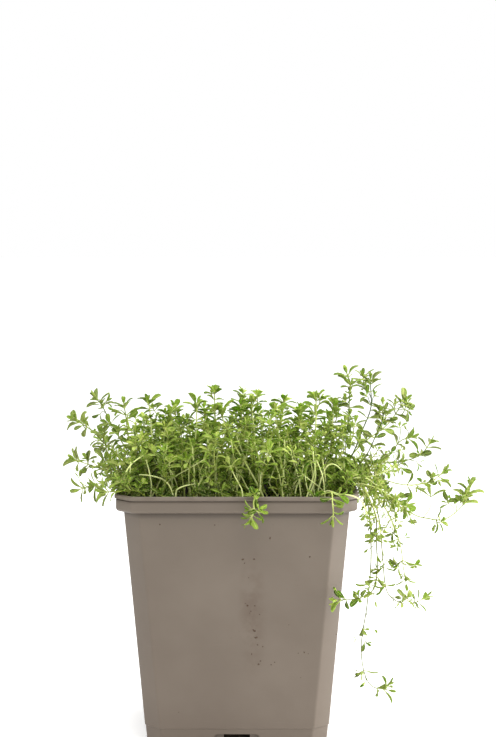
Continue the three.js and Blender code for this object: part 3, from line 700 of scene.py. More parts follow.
def floor_material(stage):
    """Plain pale floor with the faintest grain, which shines a little itself."""
    paint = Paint("pale_floor", 0.8, 0.1)
    paint.coat([c * 0.985 for c in stage.floor[:3]] + [1.0])
    paint.coat(stage.floor, paint.noise(8.0))
    paint.shade({"Base Color": paint.base, "Emission Color": (1, 1, 1, 1), "Emission Strength": 0.2})
    return paint.material


# ---------------------------------------------------------------- stage


class THYME_OT_stage(bpy.types.Operator):
    """Sets up the camera, the soft white surroundings, the lights and the pale floor"""

    bl_idname = "thyme.stage"
    bl_label = "Stage"

    def add_light(self, name, place, target, size, power):
        """A soft rectangular light at a place, aimed at a target."""
        turn = (Vector(target) - Vector(place)).to_track_quat("-Z", "Y").to_euler()
        bpy.ops.object.light_add(type="AREA", location=place, rotation=turn)
        light = bpy.context.object
        light.name = light.data.name = name
        light.data.shape = "RECTANGLE"
        light.data.size, light.data.size_y = size
        light.data.energy = power

    def execute(self, context):
        stage, scene = context.scene.thyme_stage, context.scene
        deselect()
        bpy.ops.object.camera_add(location=stage.camera_place, rotation=(QUARTER - stage.camera_pitch, 0, 0))
        camera = context.object
        camera.name = "camera"
        camera.data.sensor_fit = "AUTO"
        camera.data.sensor_width = 36.0
        camera.data.lens = stage.lens
        camera.data.clip_start, camera.data.clip_end = 0.01, 50.0
        scene.camera = camera

        scene.world = bpy.data.worlds.new("soft_white")
        scene.world.use_nodes = True
        background = scene.world.node_tree.nodes["Background"]
        background.inputs["Color"].default_value = (1, 1, 1, 1)
        background.inputs["Strength"].default_value = stage.ambient
        scene.view_settings.view_transform = "Standard"

        self.add_light("right_softbox", (0.8, 0.0, 0.35), (0, 0, 0.07), (0.5, 0.7), stage.key)
        self.add_light("front_softbox", (0.15, -0.75, 1.0), (0, 0, 0.1), (0.6, 0.5), stage.front)
        self.add_light("top_softbox", (0.0, 0.25, 0.85), (0, 0, 0.13), (0.8, 0.6), stage.top)

        bpy.ops.mesh.primitive_plane_add(size=8.0, location=(0, 0, 0))
        floor = context.object
        floor.name = "pale_floor"
        floor.data.materials.append(floor_material(stage))
        return {"FINISHED"}


# ---------------------------------------------------------------- pot


def wall_half(sizes, z):
    """Half the pot's outer width at height z, below the collar and without the foot's inset."""
    return sizes.base_half + (sizes.shoulder_half - sizes.base_half) * z / sizes.shoulder


class THYME_OT_pot(bpy.types.Operator):
    """Models the pot as one moulded piece, with its collar, bead, foot band and drainage niches"""

    bl_idname = "thyme.pot"
    bl_label = "Pot"

    def raise_cap(self, levels):
        """Extrudes the selected cap through levels of height and half width, its cut corners unchanged."""
        for (z, half), (next_z, next_half) in zip(levels, levels[1:]):
            bpy.ops.mesh.extrude_region_move(TRANSFORM_OT_translate={"value": (0, 0, next_z - z)})
            self.spread_cap(next_half - half)

    def spread_cap(self, out):
        """Moves each side of the selected cap outwards."""
        mesh = bmesh.from_edit_mesh(bpy.context.object.data)
        cap = {point.index for point in mesh.verts if point.select}
        for axis in (0, 1):
            for sign in (1, -1):
                pick("VERT", lambda point: point.index in cap and point.co[axis] * sign > 0)
                move = Vector()
                move[axis] = sign * out
                bpy.ops.transform.translate(value=move)
        pick("VERT", lambda point: point.index in cap)
        bpy.ops.mesh.select_mode(type="FACE")

    def outside_levels(self, sizes):
        """Height and half width of each level of the outside, from the foot to the top of the bead."""
        foot = wall_half(sizes, sizes.foot_band)
        low = wall_half(sizes, 0) - sizes.foot_inset
        lip = sizes.height - sizes.bead_height
        collar, bead = sizes.collar_half, sizes.bead_half
        levels = [
            (0, low - SOFT),
            (SOFT, low),
            (sizes.foot_band - SOFT, foot - sizes.foot_inset),
            (sizes.foot_band, foot),
            (sizes.shoulder - SOFT, wall_half(sizes, sizes.shoulder - SOFT)),
            (sizes.shoulder, sizes.shoulder_half + SOFT),
        ]
        # the collar's underside runs out and rolls over into its face
        roll, steps = 1.7 * MM, 4
        centre = (sizes.shoulder + roll, collar - roll)
        for step in range(steps + 1):
            angle = -QUARTER + step * QUARTER / steps
            levels.append((centre[0] + roll * math.sin(angle), centre[1] + roll * math.cos(angle)))
        # a fine groove lies under the bead
        return levels + [
            (lip - 0.55 * MM, collar),
            (lip - 0.3 * MM, collar - 0.25 * MM),
            (lip, collar - 0.2 * MM),
            (lip + SOFT / 2, bead - SOFT),
            (lip + SOFT, bead),
            (sizes.height - SOFT, bead),
            (sizes.height - SOFT / 3, bead - SOFT / 3),
            (sizes.height, bead - SOFT),
        ]

    def inside_levels(self, sizes):
        """Height and half width of each level of the inside, from the top of the bead to the floor."""
        inner = sizes.collar_half - sizes.wall
        ledge = sizes.shoulder + sizes.wall
        return [
            (sizes.height, sizes.bead_half - SOFT),
            (sizes.height, inner + SOFT),
            (sizes.height - SOFT / 3, inner + SOFT / 3),
            (sizes.height - SOFT, inner),
            (ledge + SOFT, inner),
            (ledge, inner - SOFT),
            (ledge, wall_half(sizes, ledge) - sizes.wall + SOFT),
            (ledge - SOFT, wall_half(sizes, ledge) - sizes.wall),
            (sizes.floor, wall_half(sizes, sizes.floor) - sizes.wall),
        ]

    def shape_shell(self, sizes):
        """The shell: a cut-cornered foot, extruded up the outside and down the inside to the floor."""
        outside = self.outside_levels(sizes)
        bpy.ops.mesh.primitive_plane_add(size=2 * outside[0][1], location=(0, 0, 0))
        pot = begin("nursery_pot")
        bpy.ops.mesh.bevel(offset=sizes.corner_cut, affect="VERTICES", segments=1)
        bpy.ops.mesh.select_all(action="SELECT")
        leg = sizes.corner_round * math.tan(math.pi / 8)
        bpy.ops.mesh.bevel(offset=leg, affect="VERTICES", segments=3, profile=0.5)
        bpy.ops.mesh.select_all(action="SELECT")
        bpy.ops.mesh.select_mode(type="FACE")
        self.raise_cap(outside)
        self.raise_cap(self.inside_levels(sizes))
        # the underside is set back inside the ring that the pot stands on
        pick("FACE", lambda face: face.calc_center_median().length < 0.01 * MM)
        ring = wall_half(sizes, 0) - sizes.foot_ring
        self.raise_cap([(0, outside[0][1]), (0, ring + SOFT), (SOFT, ring), (sizes.foot_lift, ring)])
        face_outwards()
        deselect()
        return pot

    def make_boss(self, sizes):
        """The boss in the middle of the underside, with a shallow hollow in its face."""
        middle = (sizes.foot_lift + sizes.floor) / 4
        bpy.ops.mesh.primitive_cylinder_add(
            vertices=48, radius=sizes.boss, depth=2 * middle, location=(0, 0, middle)
        )
        boss = begin("boss")
        pick("FACE", lambda face: face.normal.z < -0.9)
        bpy.ops.mesh.inset(thickness=0.4 * MM)
        bpy.ops.mesh.inset(thickness=7.5 * MM)
        bpy.ops.mesh.extrude_region_move(TRANSFORM_OT_translate={"value": (0, 0, 0.5 * MM)})
        settle(boss)
        return boss

    def make_block(self, wide, front, deep, low, high, rounded):
        """A block at the front side's niche, with its upper corners rounded."""
        bpy.ops.mesh.primitive_cube_add(
            size=1, location=(0, front + deep / 2, (low + high) / 2), scale=(wide, deep, high - low)
        )
        block = begin("drain_tool")
        pick("EDGE", lambda edge: edge.verts[0].co.z > 0 and edge.verts[0].co.y * edge.verts[1].co.y < 0)
        bpy.ops.mesh.bevel(offset=rounded, segments=4)
        settle(block)
        return block

    def add_drains(self, pot, sizes):
        """Adds the niche's own wall behind each side's foot, then cuts the niche and the slot at its back."""
        face = -wall_half(sizes, 0)
        wall, floor = sizes.wall, sizes.floor
        shapes = (
            ("UNION", {
                "wide": sizes.drain_width + 2 * wall, "front": face + 0.6 * MM,
                "deep": sizes.drain_depth + wall - 0.6 * MM,
                "low": sizes.foot_lift + 0.01 * MM, "high": sizes.drain_height + wall, "rounded": 1.2 * MM,
            }),
            ("DIFFERENCE", {
                "wide": sizes.drain_width, "front": face - 4 * MM, "deep": sizes.drain_depth + 4 * MM,
                "low": -1 * MM, "high": sizes.drain_height, "rounded": 1.6 * MM,
            }),
            ("DIFFERENCE", {
                "wide": sizes.slot_width, "front": face - 4 * MM, "deep": 12 * MM,
                "low": floor + 0.01 * MM, "high": sizes.slot_top, "rounded": 0.5 * MM,
            }),
        )
        for operation, shape in shapes:
            block = self.make_block(**shape)
            for quarter in (1, 2, 3):
                combine(pot, turned_copy(block, quarter * QUARTER), operation)
            combine(pot, block, operation)

    def execute(self, context):
        sizes, colours = context.scene.thyme_pot, context.scene.thyme_pot_colours
        deselect()
        pot = self.shape_shell(sizes)
        combine(pot, self.make_boss(sizes), "UNION")
        self.add_drains(pot, sizes)
        dress(pot, plastic_material(sizes, colours), 32)
        place_piece(pot, "pot", "pot")
        return {"FINISHED"}


class THYME_OT_specks(bpy.types.Operator):
    """Models one dried speck of compost and copies it down the pot's front"""

    bl_idname = "thyme.specks"
    bl_label = "Specks"

    def execute(self, context):
        sizes, colours = context.scene.thyme_pot, context.scene.thyme_pot_colours
        chance = random.Random(context.scene.thyme_stems.seed + 5)
        deselect()
        bpy.ops.mesh.primitive_ico_sphere_add(subdivisions=2, radius=0.5, location=(0, 0, 0))
        speck = begin("speck")
        pick("VERT", lambda point: point.co.x > 0.1)
        bpy.ops.transform.resize(value=(1.25, 1, 0.8), center_override=(0, 0, 0))
        pick("VERT", lambda point: point.co.z < -0.2)
        bpy.ops.transform.resize(value=(0.7, 1, 1.15), center_override=(0.1, 0, 0))
        deselect()
        speck.data.materials.append(speck_material(colours))
        slope = math.atan2(sizes.shoulder_half - sizes.base_half, sizes.shoulder)
        copies = []
        for across, height, size in SPECKS:
            z = height * MM
            spot = Matrix.Translation((across * MM, -wall_half(sizes, z), z))
            turn = Matrix.Rotation(slope, 4, "X") @ Matrix.Rotation(chance.uniform(0, 6.28), 4, "Y")
            flat = Matrix.Diagonal((size * MM, 0.22 * size * MM, size * MM * chance.uniform(0.6, 1.0), 1))
            copies.append(copy_at(speck, spot @ turn @ flat))
        bpy.data.objects.remove(speck)
        piece = copies[0]
        join(piece, copies[1:])
        piece.name = piece.data.name = "compost_specks"
        settle(piece)
        bpy.ops.object.shade_smooth()
        place_piece(piece, "compost")
        return {"FINISHED"}


# ---------------------------------------------------------------- compost


def compost_top(x, y):
    """Height of the compost's surface at x, y, in millimetres: gently crowned, with low lumps."""
    settings = bpy.context.scene.thyme_compost
    half = bpy.context.scene.thyme_pot.shoulder_half / MM
    away = (x * x + y * y) / (2 * half * half)
    broad = 0.5 * math.sin(0.31 * x + 1.3) * math.cos(0.27 * y)
    small = 0.3 * math.sin(0.83 * x) * math.sin(0.74 * y + 1)
    return settings.edge / MM + settings.crown / MM * (1 - away) + broad + small


class THYME_OT_compost(bpy.types.Operator):
    """Models the compost filling and the loose crumbs on it"""

    bl_idname = "thyme.compost"
    bl_label = "Compost"

    def half(self, z):
        """Half the width of the filling at height z."""
        sizes = bpy.context.scene.thyme_pot
        return wall_half(sizes, z) - sizes.wall - bpy.context.scene.thyme_compost.side_gap

    def lumpy_surface(self, sizes, settings):
        """The top of the filling: a grid with cut corners, crowned and lumpy, but flatter at its edge."""
        inner = self.half(settings.edge)
        bpy.ops.mesh.primitive_grid_add(
            x_subdivisions=90, y_subdivisions=90, size=2 * inner, location=(0, 0, 0)
        )
        filling = begin("potting_compost")
        corner = (2 * inner - sizes.corner_cut) / 2
        for x, y in ((1, 1), (1, -1), (-1, 1), (-1, -1)):
            bpy.ops.mesh.select_all(action="SELECT")
            bpy.ops.mesh.bisect(plane_co=(x * corner, y * corner, 0), plane_no=(x, y, 0), clear_outer=True)
        deselect()
        inside = filling.vertex_groups.new(name="inside")
        for point in filling.data.vertices:
            x, y = abs(point.co.x), abs(point.co.y)
            reach = max(x, y, (x + y + sizes.corner_cut) / 2)
            inside.add([point.index], min(1.0, max(0.15, (inner - reach) / (3 * MM))), "REPLACE")
            point.co.z = compost_top(point.co.x / MM, point.co.y / MM) * MM
        for name, size, strength in (("broad", 7 * MM, 1.0), ("fine", 2.2 * MM, 0.8)):
            texture = bpy.data.textures.new("lumps_" + name, "CLOUDS")
            texture.noise_scale = size
            texture.noise_depth = 3
            apply_modifier(
                filling, "DISPLACE", texture=texture, strength=settings.lump * strength, mid_level=0.5,
                vertex_group="inside", texture_coords="LOCAL", direction="Z"
            )
        return filling

    def close_filling(self, filling, sizes, settings):
        """Runs the edge of the surface down to the floor of the pot and closes it there."""
        only(filling)
        bpy.ops.object.mode_set(mode="EDIT")
        bpy.ops.mesh.select_mode(type="EDGE")
        bpy.ops.mesh.select_all(action="SELECT")
        bpy.ops.mesh.region_to_loop()
        bpy.ops.mesh.extrude_edges_move(TRANSFORM_OT_translate={"value": (0, 0, -30 * MM)})
        bpy.ops.transform.resize(value=(1, 1, 0), center_override=(0, 0, 0))
        low = sizes.floor + settings.side_gap
        bpy.ops.transform.translate(value=(0, 0, low))
        shrink = (self.half(low) - 4 * MM) / self.half(settings.edge)
        bpy.ops.transform.resize(value=(shrink, shrink, 1), center_override=(0, 0, low))
        bpy.ops.mesh.edge_face_add()
        face_outwards()

    def scatter_crumbs(self, filling, sizes, settings):
        """Models one angular crumb, and joins turned and stretched copies of it to the surface."""
        chance = random.Random(bpy.context.scene.thyme_stems.seed + 3)
        deselect()
        bpy.ops.mesh.primitive_ico_sphere_add(subdivisions=2, radius=1.0 * MM, location=(0, 0, 0))
        crumb = begin("crumb")
        for axis in (0, 1, 2):
            pick("VERT", lambda point: point.co[axis] > 0.3 * MM)
            bpy.ops.transform.translate(value=[0.35 * MM if i == axis else 0 for i in range(3)])
        pick("VERT", lambda point: point.co.x - point.co.y > 1.0 * MM)
        bpy.ops.transform.resize(value=(0.7, 0.7, 1.1), center_override=(0, 0, 0))
        deselect()
        gap, cut = 4, 9  # crumbs lie this far in from the pot's sides, in a square with its corners cut
        inner = wall_half(sizes, settings.edge) / MM - gap
        copies = []
        for _ in range(settings.crumbs):
            x, y = chance.uniform(-inner, inner), chance.uniform(-inner, inner)
            if abs(x) + abs(y) > 2 * inner - cut:
                continue
            size = chance.uniform(0.35, 1.25)
            spot = Matrix.Translation(Vector((x, y, compost_top(x, y) + 0.5 * size)) * MM)
            angle = chance.uniform(0, 6.28)
            turn = Matrix.Rotation(angle, 4, Vector((chance.uniform(-1, 1), chance.uniform(-1, 1), 1)))
            long, high = size * chance.uniform(0.7, 1.6), size * chance.uniform(0.5, 0.9)
            copies.append(copy_at(crumb, spot @ turn @ Matrix.Diagonal((long, size, high, 1))))
        bpy.data.objects.remove(crumb)
        join(filling, copies)

    def execute(self, context):
        sizes, settings = context.scene.thyme_pot, context.scene.thyme_compost
        deselect()
        filling = self.lumpy_surface(sizes, settings)
        self.close_filling(filling, sizes, settings)
        self.scatter_crumbs(filling, sizes, settings)
        dress(filling, compost_material(settings), 50)
        place_piece(filling, "compost", "compost")
        return {"FINISHED"}


# ---------------------------------------------------------------- leaves

# Each leaf form gives its rows, from stalk to tip: how far along, how wide and how high, as shares of the
# leaf. Then comes how far its edges are folded up.
LEAF_FORMS = {
    "broad": ([(0.0, 0.13, 0.0), (0.2, 0.22, 0.03), (0.44, 0.8, 0.06), (0.7, 1.0, 0.05), (0.91, 0.78, -0.02),
               (1.0, 0.36, -0.07)], 0.16),
    "oval": ([(0.0, 0.13, 0.0), (0.2, 0.2, 0.04), (0.45, 0.7, 0.1), (0.7, 0.88, 0.12), (0.91, 0.68, 0.08),
              (1.0, 0.3, 0.02)], 0.22),
    "folded": ([(0.0, 0.13, 0.0), (0.18, 0.2, 0.02), (0.42, 0.66, 0.08), (0.66, 0.76, 0.18),
                (0.88, 0.52, 0.3), (1.0, 0.16, 0.38)], 0.4),
    "drooping": ([(0.0, 0.13, 0.0), (0.2, 0.18, 0.06), (0.45, 0.72, 0.12), (0.68, 0.84, 0.06),
                  (0.89, 0.6, -0.1), (1.0, 0.2, -0.22)], 0.18),
}


class THYME_OT_leaf_forms(bpy.types.Operator):
    """Models the four leaf forms that all leaves are copied from, and makes the plant's two materials"""

    bl_idname = "thyme.leaf_forms"
    bl_label = "Leaf forms"

    def shape_leaf(self, name, rows, fold, leaves):
        """Models one leaf form from a grid, and keeps its mesh for the stems."""
        deselect()
        bpy.ops.mesh.primitive_grid_add(
            x_subdivisions=4, y_subdivisions=5, size=1, location=(0, 0, 0), calc_uvs=True
        )
        leaf = begin("leaf_" + name)
        # the edges fold up, and the columns between them and the midrib less
        for column, lift in ((0.5, 1.0), (0.25, 0.42)):
            pick("VERT", lambda point: abs(abs(point.co.x) - column) < 0.01)
            bpy.ops.transform.translate(value=(0, 0, fold * lift * leaves.wide))
        aside = 3  # finished rows wait this far off, clear of the rows still to be picked
        for order, (along, wide, high) in enumerate(rows):
            y = -0.5 + order / 5
            pick("VERT", lambda point: abs(point.co.y - y) < 0.01)
            bpy.ops.transform.resize(value=(wide * leaves.wide, 1, wide), center_override=(0, y, 0))
            there = aside + along * (leaves.long + leaves.stalk)
            bpy.ops.transform.translate(value=(0, there - y, high * leaves.wide))
        bpy.ops.mesh.select_all(action="SELECT")
        bpy.ops.transform.translate(value=(0, -aside, 0))
        apply_modifier(leaf, "SOLIDIFY", thickness=leaves.thick, offset=-1.0, use_even_offset=False)
        mesh = leaf.data
        mesh.uv_layers[0].name = "leaf"
        half = len(mesh.vertices) // 2
        mesh.attributes.new("under", "FLOAT", "POINT").data.foreach_set("value", [0.0] * half + [1.0] * half)
        mesh.attributes.new("tint", "FLOAT", "POINT")
        only(leaf)
        bpy.ops.object.shade_smooth_by_angle(angle=math.radians(55))
        mesh.use_fake_user = True
        bpy.data.objects.remove(leaf)

    def execute(self, context):
        leaves = context.scene.thyme_leaves
        for name, (rows, fold) in LEAF_FORMS.items():
            self.shape_leaf(name, rows, fold, leaves)
        leaf_material(leaves)
        stem_material(context.scene.thyme_stems, context.scene.thyme_compost.edge)
        return {"FINISHED"}


# ---------------------------------------------------------------- growing stems

ROOT_DEPTH = 4  # how far below the surface a thin stem begins


def smooth_line(route, steps):
    """Points along a smooth line through a route."""
    ends = [2 * route[0] - route[1], *route, 2 * route[-1] - route[-2]]
    line = []
    for a, b, c, d in zip(ends, ends[1:], ends[2:], ends[3:]):
        for step in range(steps):
            t = step / steps
            cubic = (b - c) * 3 - a + d
            line.append(b + ((c - a) * t + (a * 2 - b * 5 + c * 4 - d) * t**2 + cubic * t**3) / 2)
    return [*line, route[-1]]


def is_clear(place, margin=0.35):
    """Whether a point misses the pot and the compost, in millimetres."""
    sizes = bpy.context.scene.thyme_pot
    x, y, z = place
    if z > sizes.height / MM + margin:
        return True
    reach = max(abs(x), abs(y), (abs(x) + abs(y) + sizes.corner_cut / MM) / 2)
    half = wall_half(sizes, z * MM) / MM
    above = z > (sizes.shoulder + sizes.wall) / MM
    inner = (sizes.collar_half / MM if above else half) - sizes.wall / MM
    if reach < inner - margin:
        return z > compost_top(x, y) + margin
    outer = sizes.bead_half / MM if z > sizes.shoulder / MM - margin else half
    return reach > outer + margin and z > margin


def rooted(x, y, deep=ROOT_DEPTH):
    """The first two points of a stem, below and just above the compost's surface."""
    ground = compost_top(x, y)
    return [Vector((x, y, ground - deep)), Vector((x, y, ground + 1))]


def drawn(chance, value):
    """A number, drawn from its range if it is given as one."""
    return chance.uniform(*value) if isinstance(value, tuple) else value


# Leaf pairs from a stem's tip down: the gap below each as a share of the pair gap, its size, and its rise in
# radians. The last one repeats.
PAIRS = [(0.1, 0.66, 1.0), (0.13, 1.0, 0.6), (0.5, 1.1, 0.25), (0.95, 1.05, 0.3), (1.05, 0.98, 0.25)]
YOUNG_FORMS = ("folded", "oval")
GROWN_FORMS = ("broad", "broad", "oval", "drooping")
BUSH_HALF = 50  # half the width of the bush, where leaves are shaded and all but the upper ones are narrower
BUSH_SHADE = 0.45  # how much darker leaves are at the compost
BUSH_SHADE_TOP = 30  # how far above the compost that shade ends
LONG_SHOOT = 4.5  # longest plain side shoot; the few longer ones have larger leaves
THIN_MARGIN = 0.8  # least gap between the middle or tip of a thin stem and the pot or compost


class Growth:
    """The stems and leaves of one piece, gathered in millimetres before they are modelled."""

    def __init__(self, chance):
        self.chance = chance
        self.lines = []
        self.leaves = []

    def add_leaf(self, place, along, out, pitch, size, tint, forms, slim):
        """A leaf that stands at a place on a stem, out from it, rising by pitch towards the stem's tip."""
        chance = self.chance
        long_way = out * math.cos(pitch) + along * math.sin(pitch)
        face = along * math.cos(pitch) - out * math.sin(pitch)
        leaves = bpy.context.scene.thyme_leaves
        reach = (leaves.long + leaves.stalk) / MM * size
        if not all(is_clear(place + long_way * reach * share) for share in (0.35, 0.7, 1.0)):
            return
        roll = chance.uniform(-0.35, 0.35)
        wide_way = long_way.cross(face) * math.cos(roll) + face * math.sin(roll)
        turn = Matrix((wide_way, long_way, wide_way.cross(long_way))).transposed()
        wide = size * slim * chance.uniform(0.86, 1.12)
        scale = Matrix.Diagonal((wide, size, size * chance.uniform(0.6, 1.5)))
        matrix = Matrix.Translation(place * MM) @ (turn @ scale).to_4x4()
        self.leaves.append((matrix, chance.choice(forms), tint))

    def sway_line(self, line, sway):
        """Bows a line to and fro sideways, its two ends held."""
        waves = [(self.chance.uniform(0, math.tau), self.chance.uniform(1.2, 2.6)) for _ in (0, 1)]
        for order, place in enumerate(line):
            share = order / (len(line) - 1)
            held = math.sin(math.pi * share)
            for axis, (start, turns) in enumerate(waves):
                place[axis] += sway * held * math.sin(start + math.tau * turns * share)

    def add_stem(
        self, route, radii, bare, leaf, gap=1.0, shoots=0.0, tint=0.5, pale=0.5, slim=1.0, sway=0.0, steps=5,
        low_leaf=0.75, pairs=math.inf
    ):
        """A stem along a route, thinning between two radii, with leaf pairs from its tip down.

        bare is its share without leaves. leaf, slim and gap are the size, width and spacing of its leaves as
        shares of the plain ones, and low_leaf is the least share of that size that its lower leaves keep.
        """
        chance = self.chance
        line = smooth_line(route, steps)
        if sway:
            self.sway_line(line, sway)
        lengths = [0.0]
        for start, end in zip(line, line[1:]):
            lengths.append(lengths[-1] + (end - start).length)
        total = lengths[-1]
        self.lines.append((line, [radii[0] + (radii[1] - radii[0]) * far / total for far in lengths], pale))
        level = Vector((route[0].y - route[-1].y, route[-1].x - route[0].x, 0))
        across = level if level.length > 0.1 else Vector((1, 0, 0))
        start_turn = chance.uniform(0, math.pi)
        pair_gap = bpy.context.scene.thyme_leaves.pair_gap / MM * gap
        edge = bpy.context.scene.thyme_compost.edge / MM
        down, order = 0.2, 0
        while total - down > bare * total and order < pairs:
            distance = total - down
            index = max(i for i, far in enumerate(lengths[:-1]) if far <= distance)
            share = (distance - lengths[index]) / max(lengths[index + 1] - lengths[index], 1e-6)
            place = line[index].lerp(line[index + 1], share)
            along = (line[index + 1] - line[index]).normalized()
            side = (across - along * across.dot(along)).normalized()
            up = along.cross(side)
            below, size, rise = PAIRS[min(order, len(PAIRS) - 1)]
            size *= leaf * max(low_leaf, 1.0 - 0.05 * max(0, order - len(PAIRS)))
            forms = YOUNG_FORMS if order < 1 else GROWN_FORMS
            inside = max(abs(place.x), abs(place.y)) < BUSH_HALF
            shaded = BUSH_SHADE * max(0.0, 1.0 - (place.z - edge) / BUSH_SHADE_TOP) if inside else 0.0
            lit = tint - shaded + (0.1 if order < 1 else 0.0)
            narrow = max(0.62, slim * 0.78) if inside and order > 3 else slim
            turn = start_turn + order * QUARTER + chance.uniform(-0.25, 0.25)
            for half in (0, math.pi):
                angle = turn + half + chance.uniform(-0.18, 0.18)
                out = side * math.cos(angle) + up * math.sin(angle)
                own_tint = min(1.0, max(0.0, lit + chance.uniform(-0.34, 0.34)))
                pitch = rise + chance.uniform(-0.25, 0.25)
                own_size = size * chance.uniform(0.82, 1.1)
                self.add_leaf(place, along, out, pitch, own_size, own_tint, forms, narrow)
                if order > 2 and chance.random() < shoots:
                    self.add_shoot(place, along, out, leaf, tint)
            down += below * pair_gap * chance.uniform(0.85, 1.15)
            order += 1
        return line

    def add_twig(self, host, tip, radius, leaf, tint, pale, slim):
        """A leafy side shoot that leaves a host line near its nearest place and bends to its tip."""
        nearest = min(range(2, len(host)), key=lambda index: (host[index] - tip).length)
        start = host[max(1, nearest - 2)]
        along = (host[nearest] - start).normalized()
        reach = (tip - start).length
        end = tip - (tip - start).normalized() * min(reach * 0.5, 2.4 * leaf)
        middle = start.lerp(end, 0.5) + along * reach * 0.12
        pairs = 1 if self.chance.random() < 0.4 else 2
        self.add_stem(
            [start, middle, end], (radius, radius * 0.6), bare=0.0, leaf=leaf, tint=tint, pale=pale,
            slim=slim, sway=0.2, steps=3, pairs=pairs
        )

    def add_shoot(self, place, along, out, leaf, tint):
        """A short side shoot that leaves a joint and bends upwards."""
        chance = self.chance
        reach = chance.uniform(1.4, LONG_SHOOT) * (2.0 if chance.random() < 0.3 else 1.0)
        way = (along * 0.8 + out * 0.75 + Vector((0, 0, 0.45))).normalized()
        end = place + way * reach + Vector((0, 0, 0.18 * reach))
        if not is_clear(end, 1.0):
            return
        middle = place + (along * 0.45 + out * 0.75).normalized() * reach * 0.5
        radius = bpy.context.scene.thyme_stems.shoot_radius / MM
        size = leaf * chance.uniform(0.6, 0.75) * (1.0 if reach < LONG_SHOOT else 1.25)
        self.add_stem(
            [place, middle, end], (radius, radius * 0.6), bare=0.35, leaf=size, gap=0.7,
            tint=min(1.0, tint + 0.15), steps=3
        )


def model_stems(name, lines):
    """Models lines as tapered tubes with six sides, as one piece that carries their tints."""
    deselect()
    bpy.ops.curve.primitive_bezier_curve_add(location=(0, 0, 0))
    bpy.context.object.name = name
    curve = bpy.context.object.data
    curve.name = name
    curve.splines.clear()
    curve.dimensions = "3D"
    curve.fill_mode = "FULL"
    curve.bevel_depth = 1.0 * MM
    curve.bevel_resolution = 1
    curve.use_fill_caps = True
    for line, radii, _ in lines:
        spline = curve.splines.new("POLY")
        spline.points.add(len(line) - 1)
        for point, place, radius in zip(spline.points, line, radii):
            point.co = (*(place * MM), 1.0)
            point.radius = radius
    bpy.ops.object.convert(target="MESH")
    piece = bpy.context.object
    mesh = piece.data
    mesh.materials.clear()
    for material in ("thyme_stem", "thyme_leaf"):
        mesh.materials.append(bpy.data.materials[material])
    for layer in list(mesh.uv_layers):
        mesh.uv_layers.remove(layer)
    mesh.uv_layers.new(name="leaf")
    # the mesh holds the two end caps of each stem first, from the last stem to the first, and then the tubes
    sides = 6
    tints = [pale for _, _, pale in reversed(lines) for _ in range(2 * sides)]
    tints += [pale for line, _, pale in lines for _ in range(len(line) * sides)]
    mesh.attributes.new("tint", "FLOAT", "POINT").data.foreach_set("value", tints)
    only(piece)
    bpy.ops.object.mode_set(mode="EDIT")
    bpy.ops.mesh.select_all(action="SELECT")
    bpy.ops.mesh.remove_doubles(threshold=1e-6)
    bpy.ops.object.mode_set(mode="OBJECT")
    bpy.ops.object.shade_smooth()
    return piece


def model_growth(name, growth, *nodes):
    """Models a growth's stems, and its leaves as copies of the leaf forms, as one piece."""
    stems = model_stems(name, growth.lines)
    copies = []
    for matrix, form, tint in growth.leaves:
        mesh = bpy.data.meshes["leaf_" + form].copy()
        mesh.attributes["tint"].data.foreach_set("value", [tint] * len(mesh.vertices))
        mesh.materials.clear()
        mesh.materials.append(bpy.data.materials["thyme_leaf"])
        leaf = bpy.data.objects.new("leaf", mesh)
        leaf.matrix_world = matrix
        bpy.context.scene.collection.objects.link(leaf)
        copies.append(leaf)
    join(stems, copies)
    place_piece(stems, "thyme", *nodes)


def grow_named(context, sprigs, tints, pales, thin, leaf, slim, gap=1.0):
    """Models a group of named stems with their leaves and twigs.

    tints and pales are the ranges that the tints of leaves and stems are drawn from. thin, leaf, slim and gap
    are shares of the plain thickness, leaf size, leaf width and gap between leaf pairs.
    """
    stems, leaves = context.scene.thyme_stems, context.scene.thyme_leaves
    radii = (stems.root_radius / MM * thin, stems.tip_radius / MM * thin)
    for name, sprig in sprigs.items():
        chance = random.Random(f"{name} {stems.seed}")
        growth = Growth(chance)
        route = rooted(*sprig["root"], deep=9) + [Vector(place) for place in sprig["route"]]
        tint, pale = chance.uniform(*tints), chance.uniform(*pales)
        host = growth.add_stem(
            route, radii, sprig["bare"], sprig.get("leaf", leaf), sprig.get("gap", gap), leaves.shoot_chance,
            tint, pale, slim, sway=0.7
        )
        for *tip, size in sprig["twigs"]:
            growth.add_twig(host, Vector(tip), radii[1], size, chance.uniform(*tints), pale, slim)
        model_growth("thyme_" + name, growth, "sprig_" + name)


# ---------------------------------------------------------------- stems


class THYME_OT_left_sprigs(bpy.types.Operator):
    """Grows the stems that sprawl over the left side of the rim"""

    bl_idname = "thyme.left_sprigs"
    bl_label = "Left sprigs"

    def execute(self, context):
        grow_named(context, LEFT, tints=(0.05, 0.42), pales=(0.2, 0.75), thin=0.8, leaf=1.2, slim=1.0)
        return {"FINISHED"}


class THYME_OT_middle_sprigs(bpy.types.Operator):
    """Grows the upright stems in the middle"""

    bl_idname = "thyme.middle_sprigs"
    bl_label = "Middle sprigs"

    def execute(self, context):
        grow_named(
            context, MIDDLE, tints=(0.2, 0.58), pales=(0.65, 1.0), thin=0.85, leaf=1.1, slim=1.15, gap=0.78
        )
        return {"FINISHED"}


class THYME_OT_right_sprigs(bpy.types.Operator):
    """Grows the tall and the spreading stems on the right"""

    bl_idname = "thyme.right_sprigs"
    bl_label = "Right sprigs"

    def execute(self, context):
        grow_named(context, RIGHT, tints=(0.0, 0.45), pales=(0.1, 0.85), thin=0.72, leaf=1.15, slim=0.92)
        return {"FINISHED"}


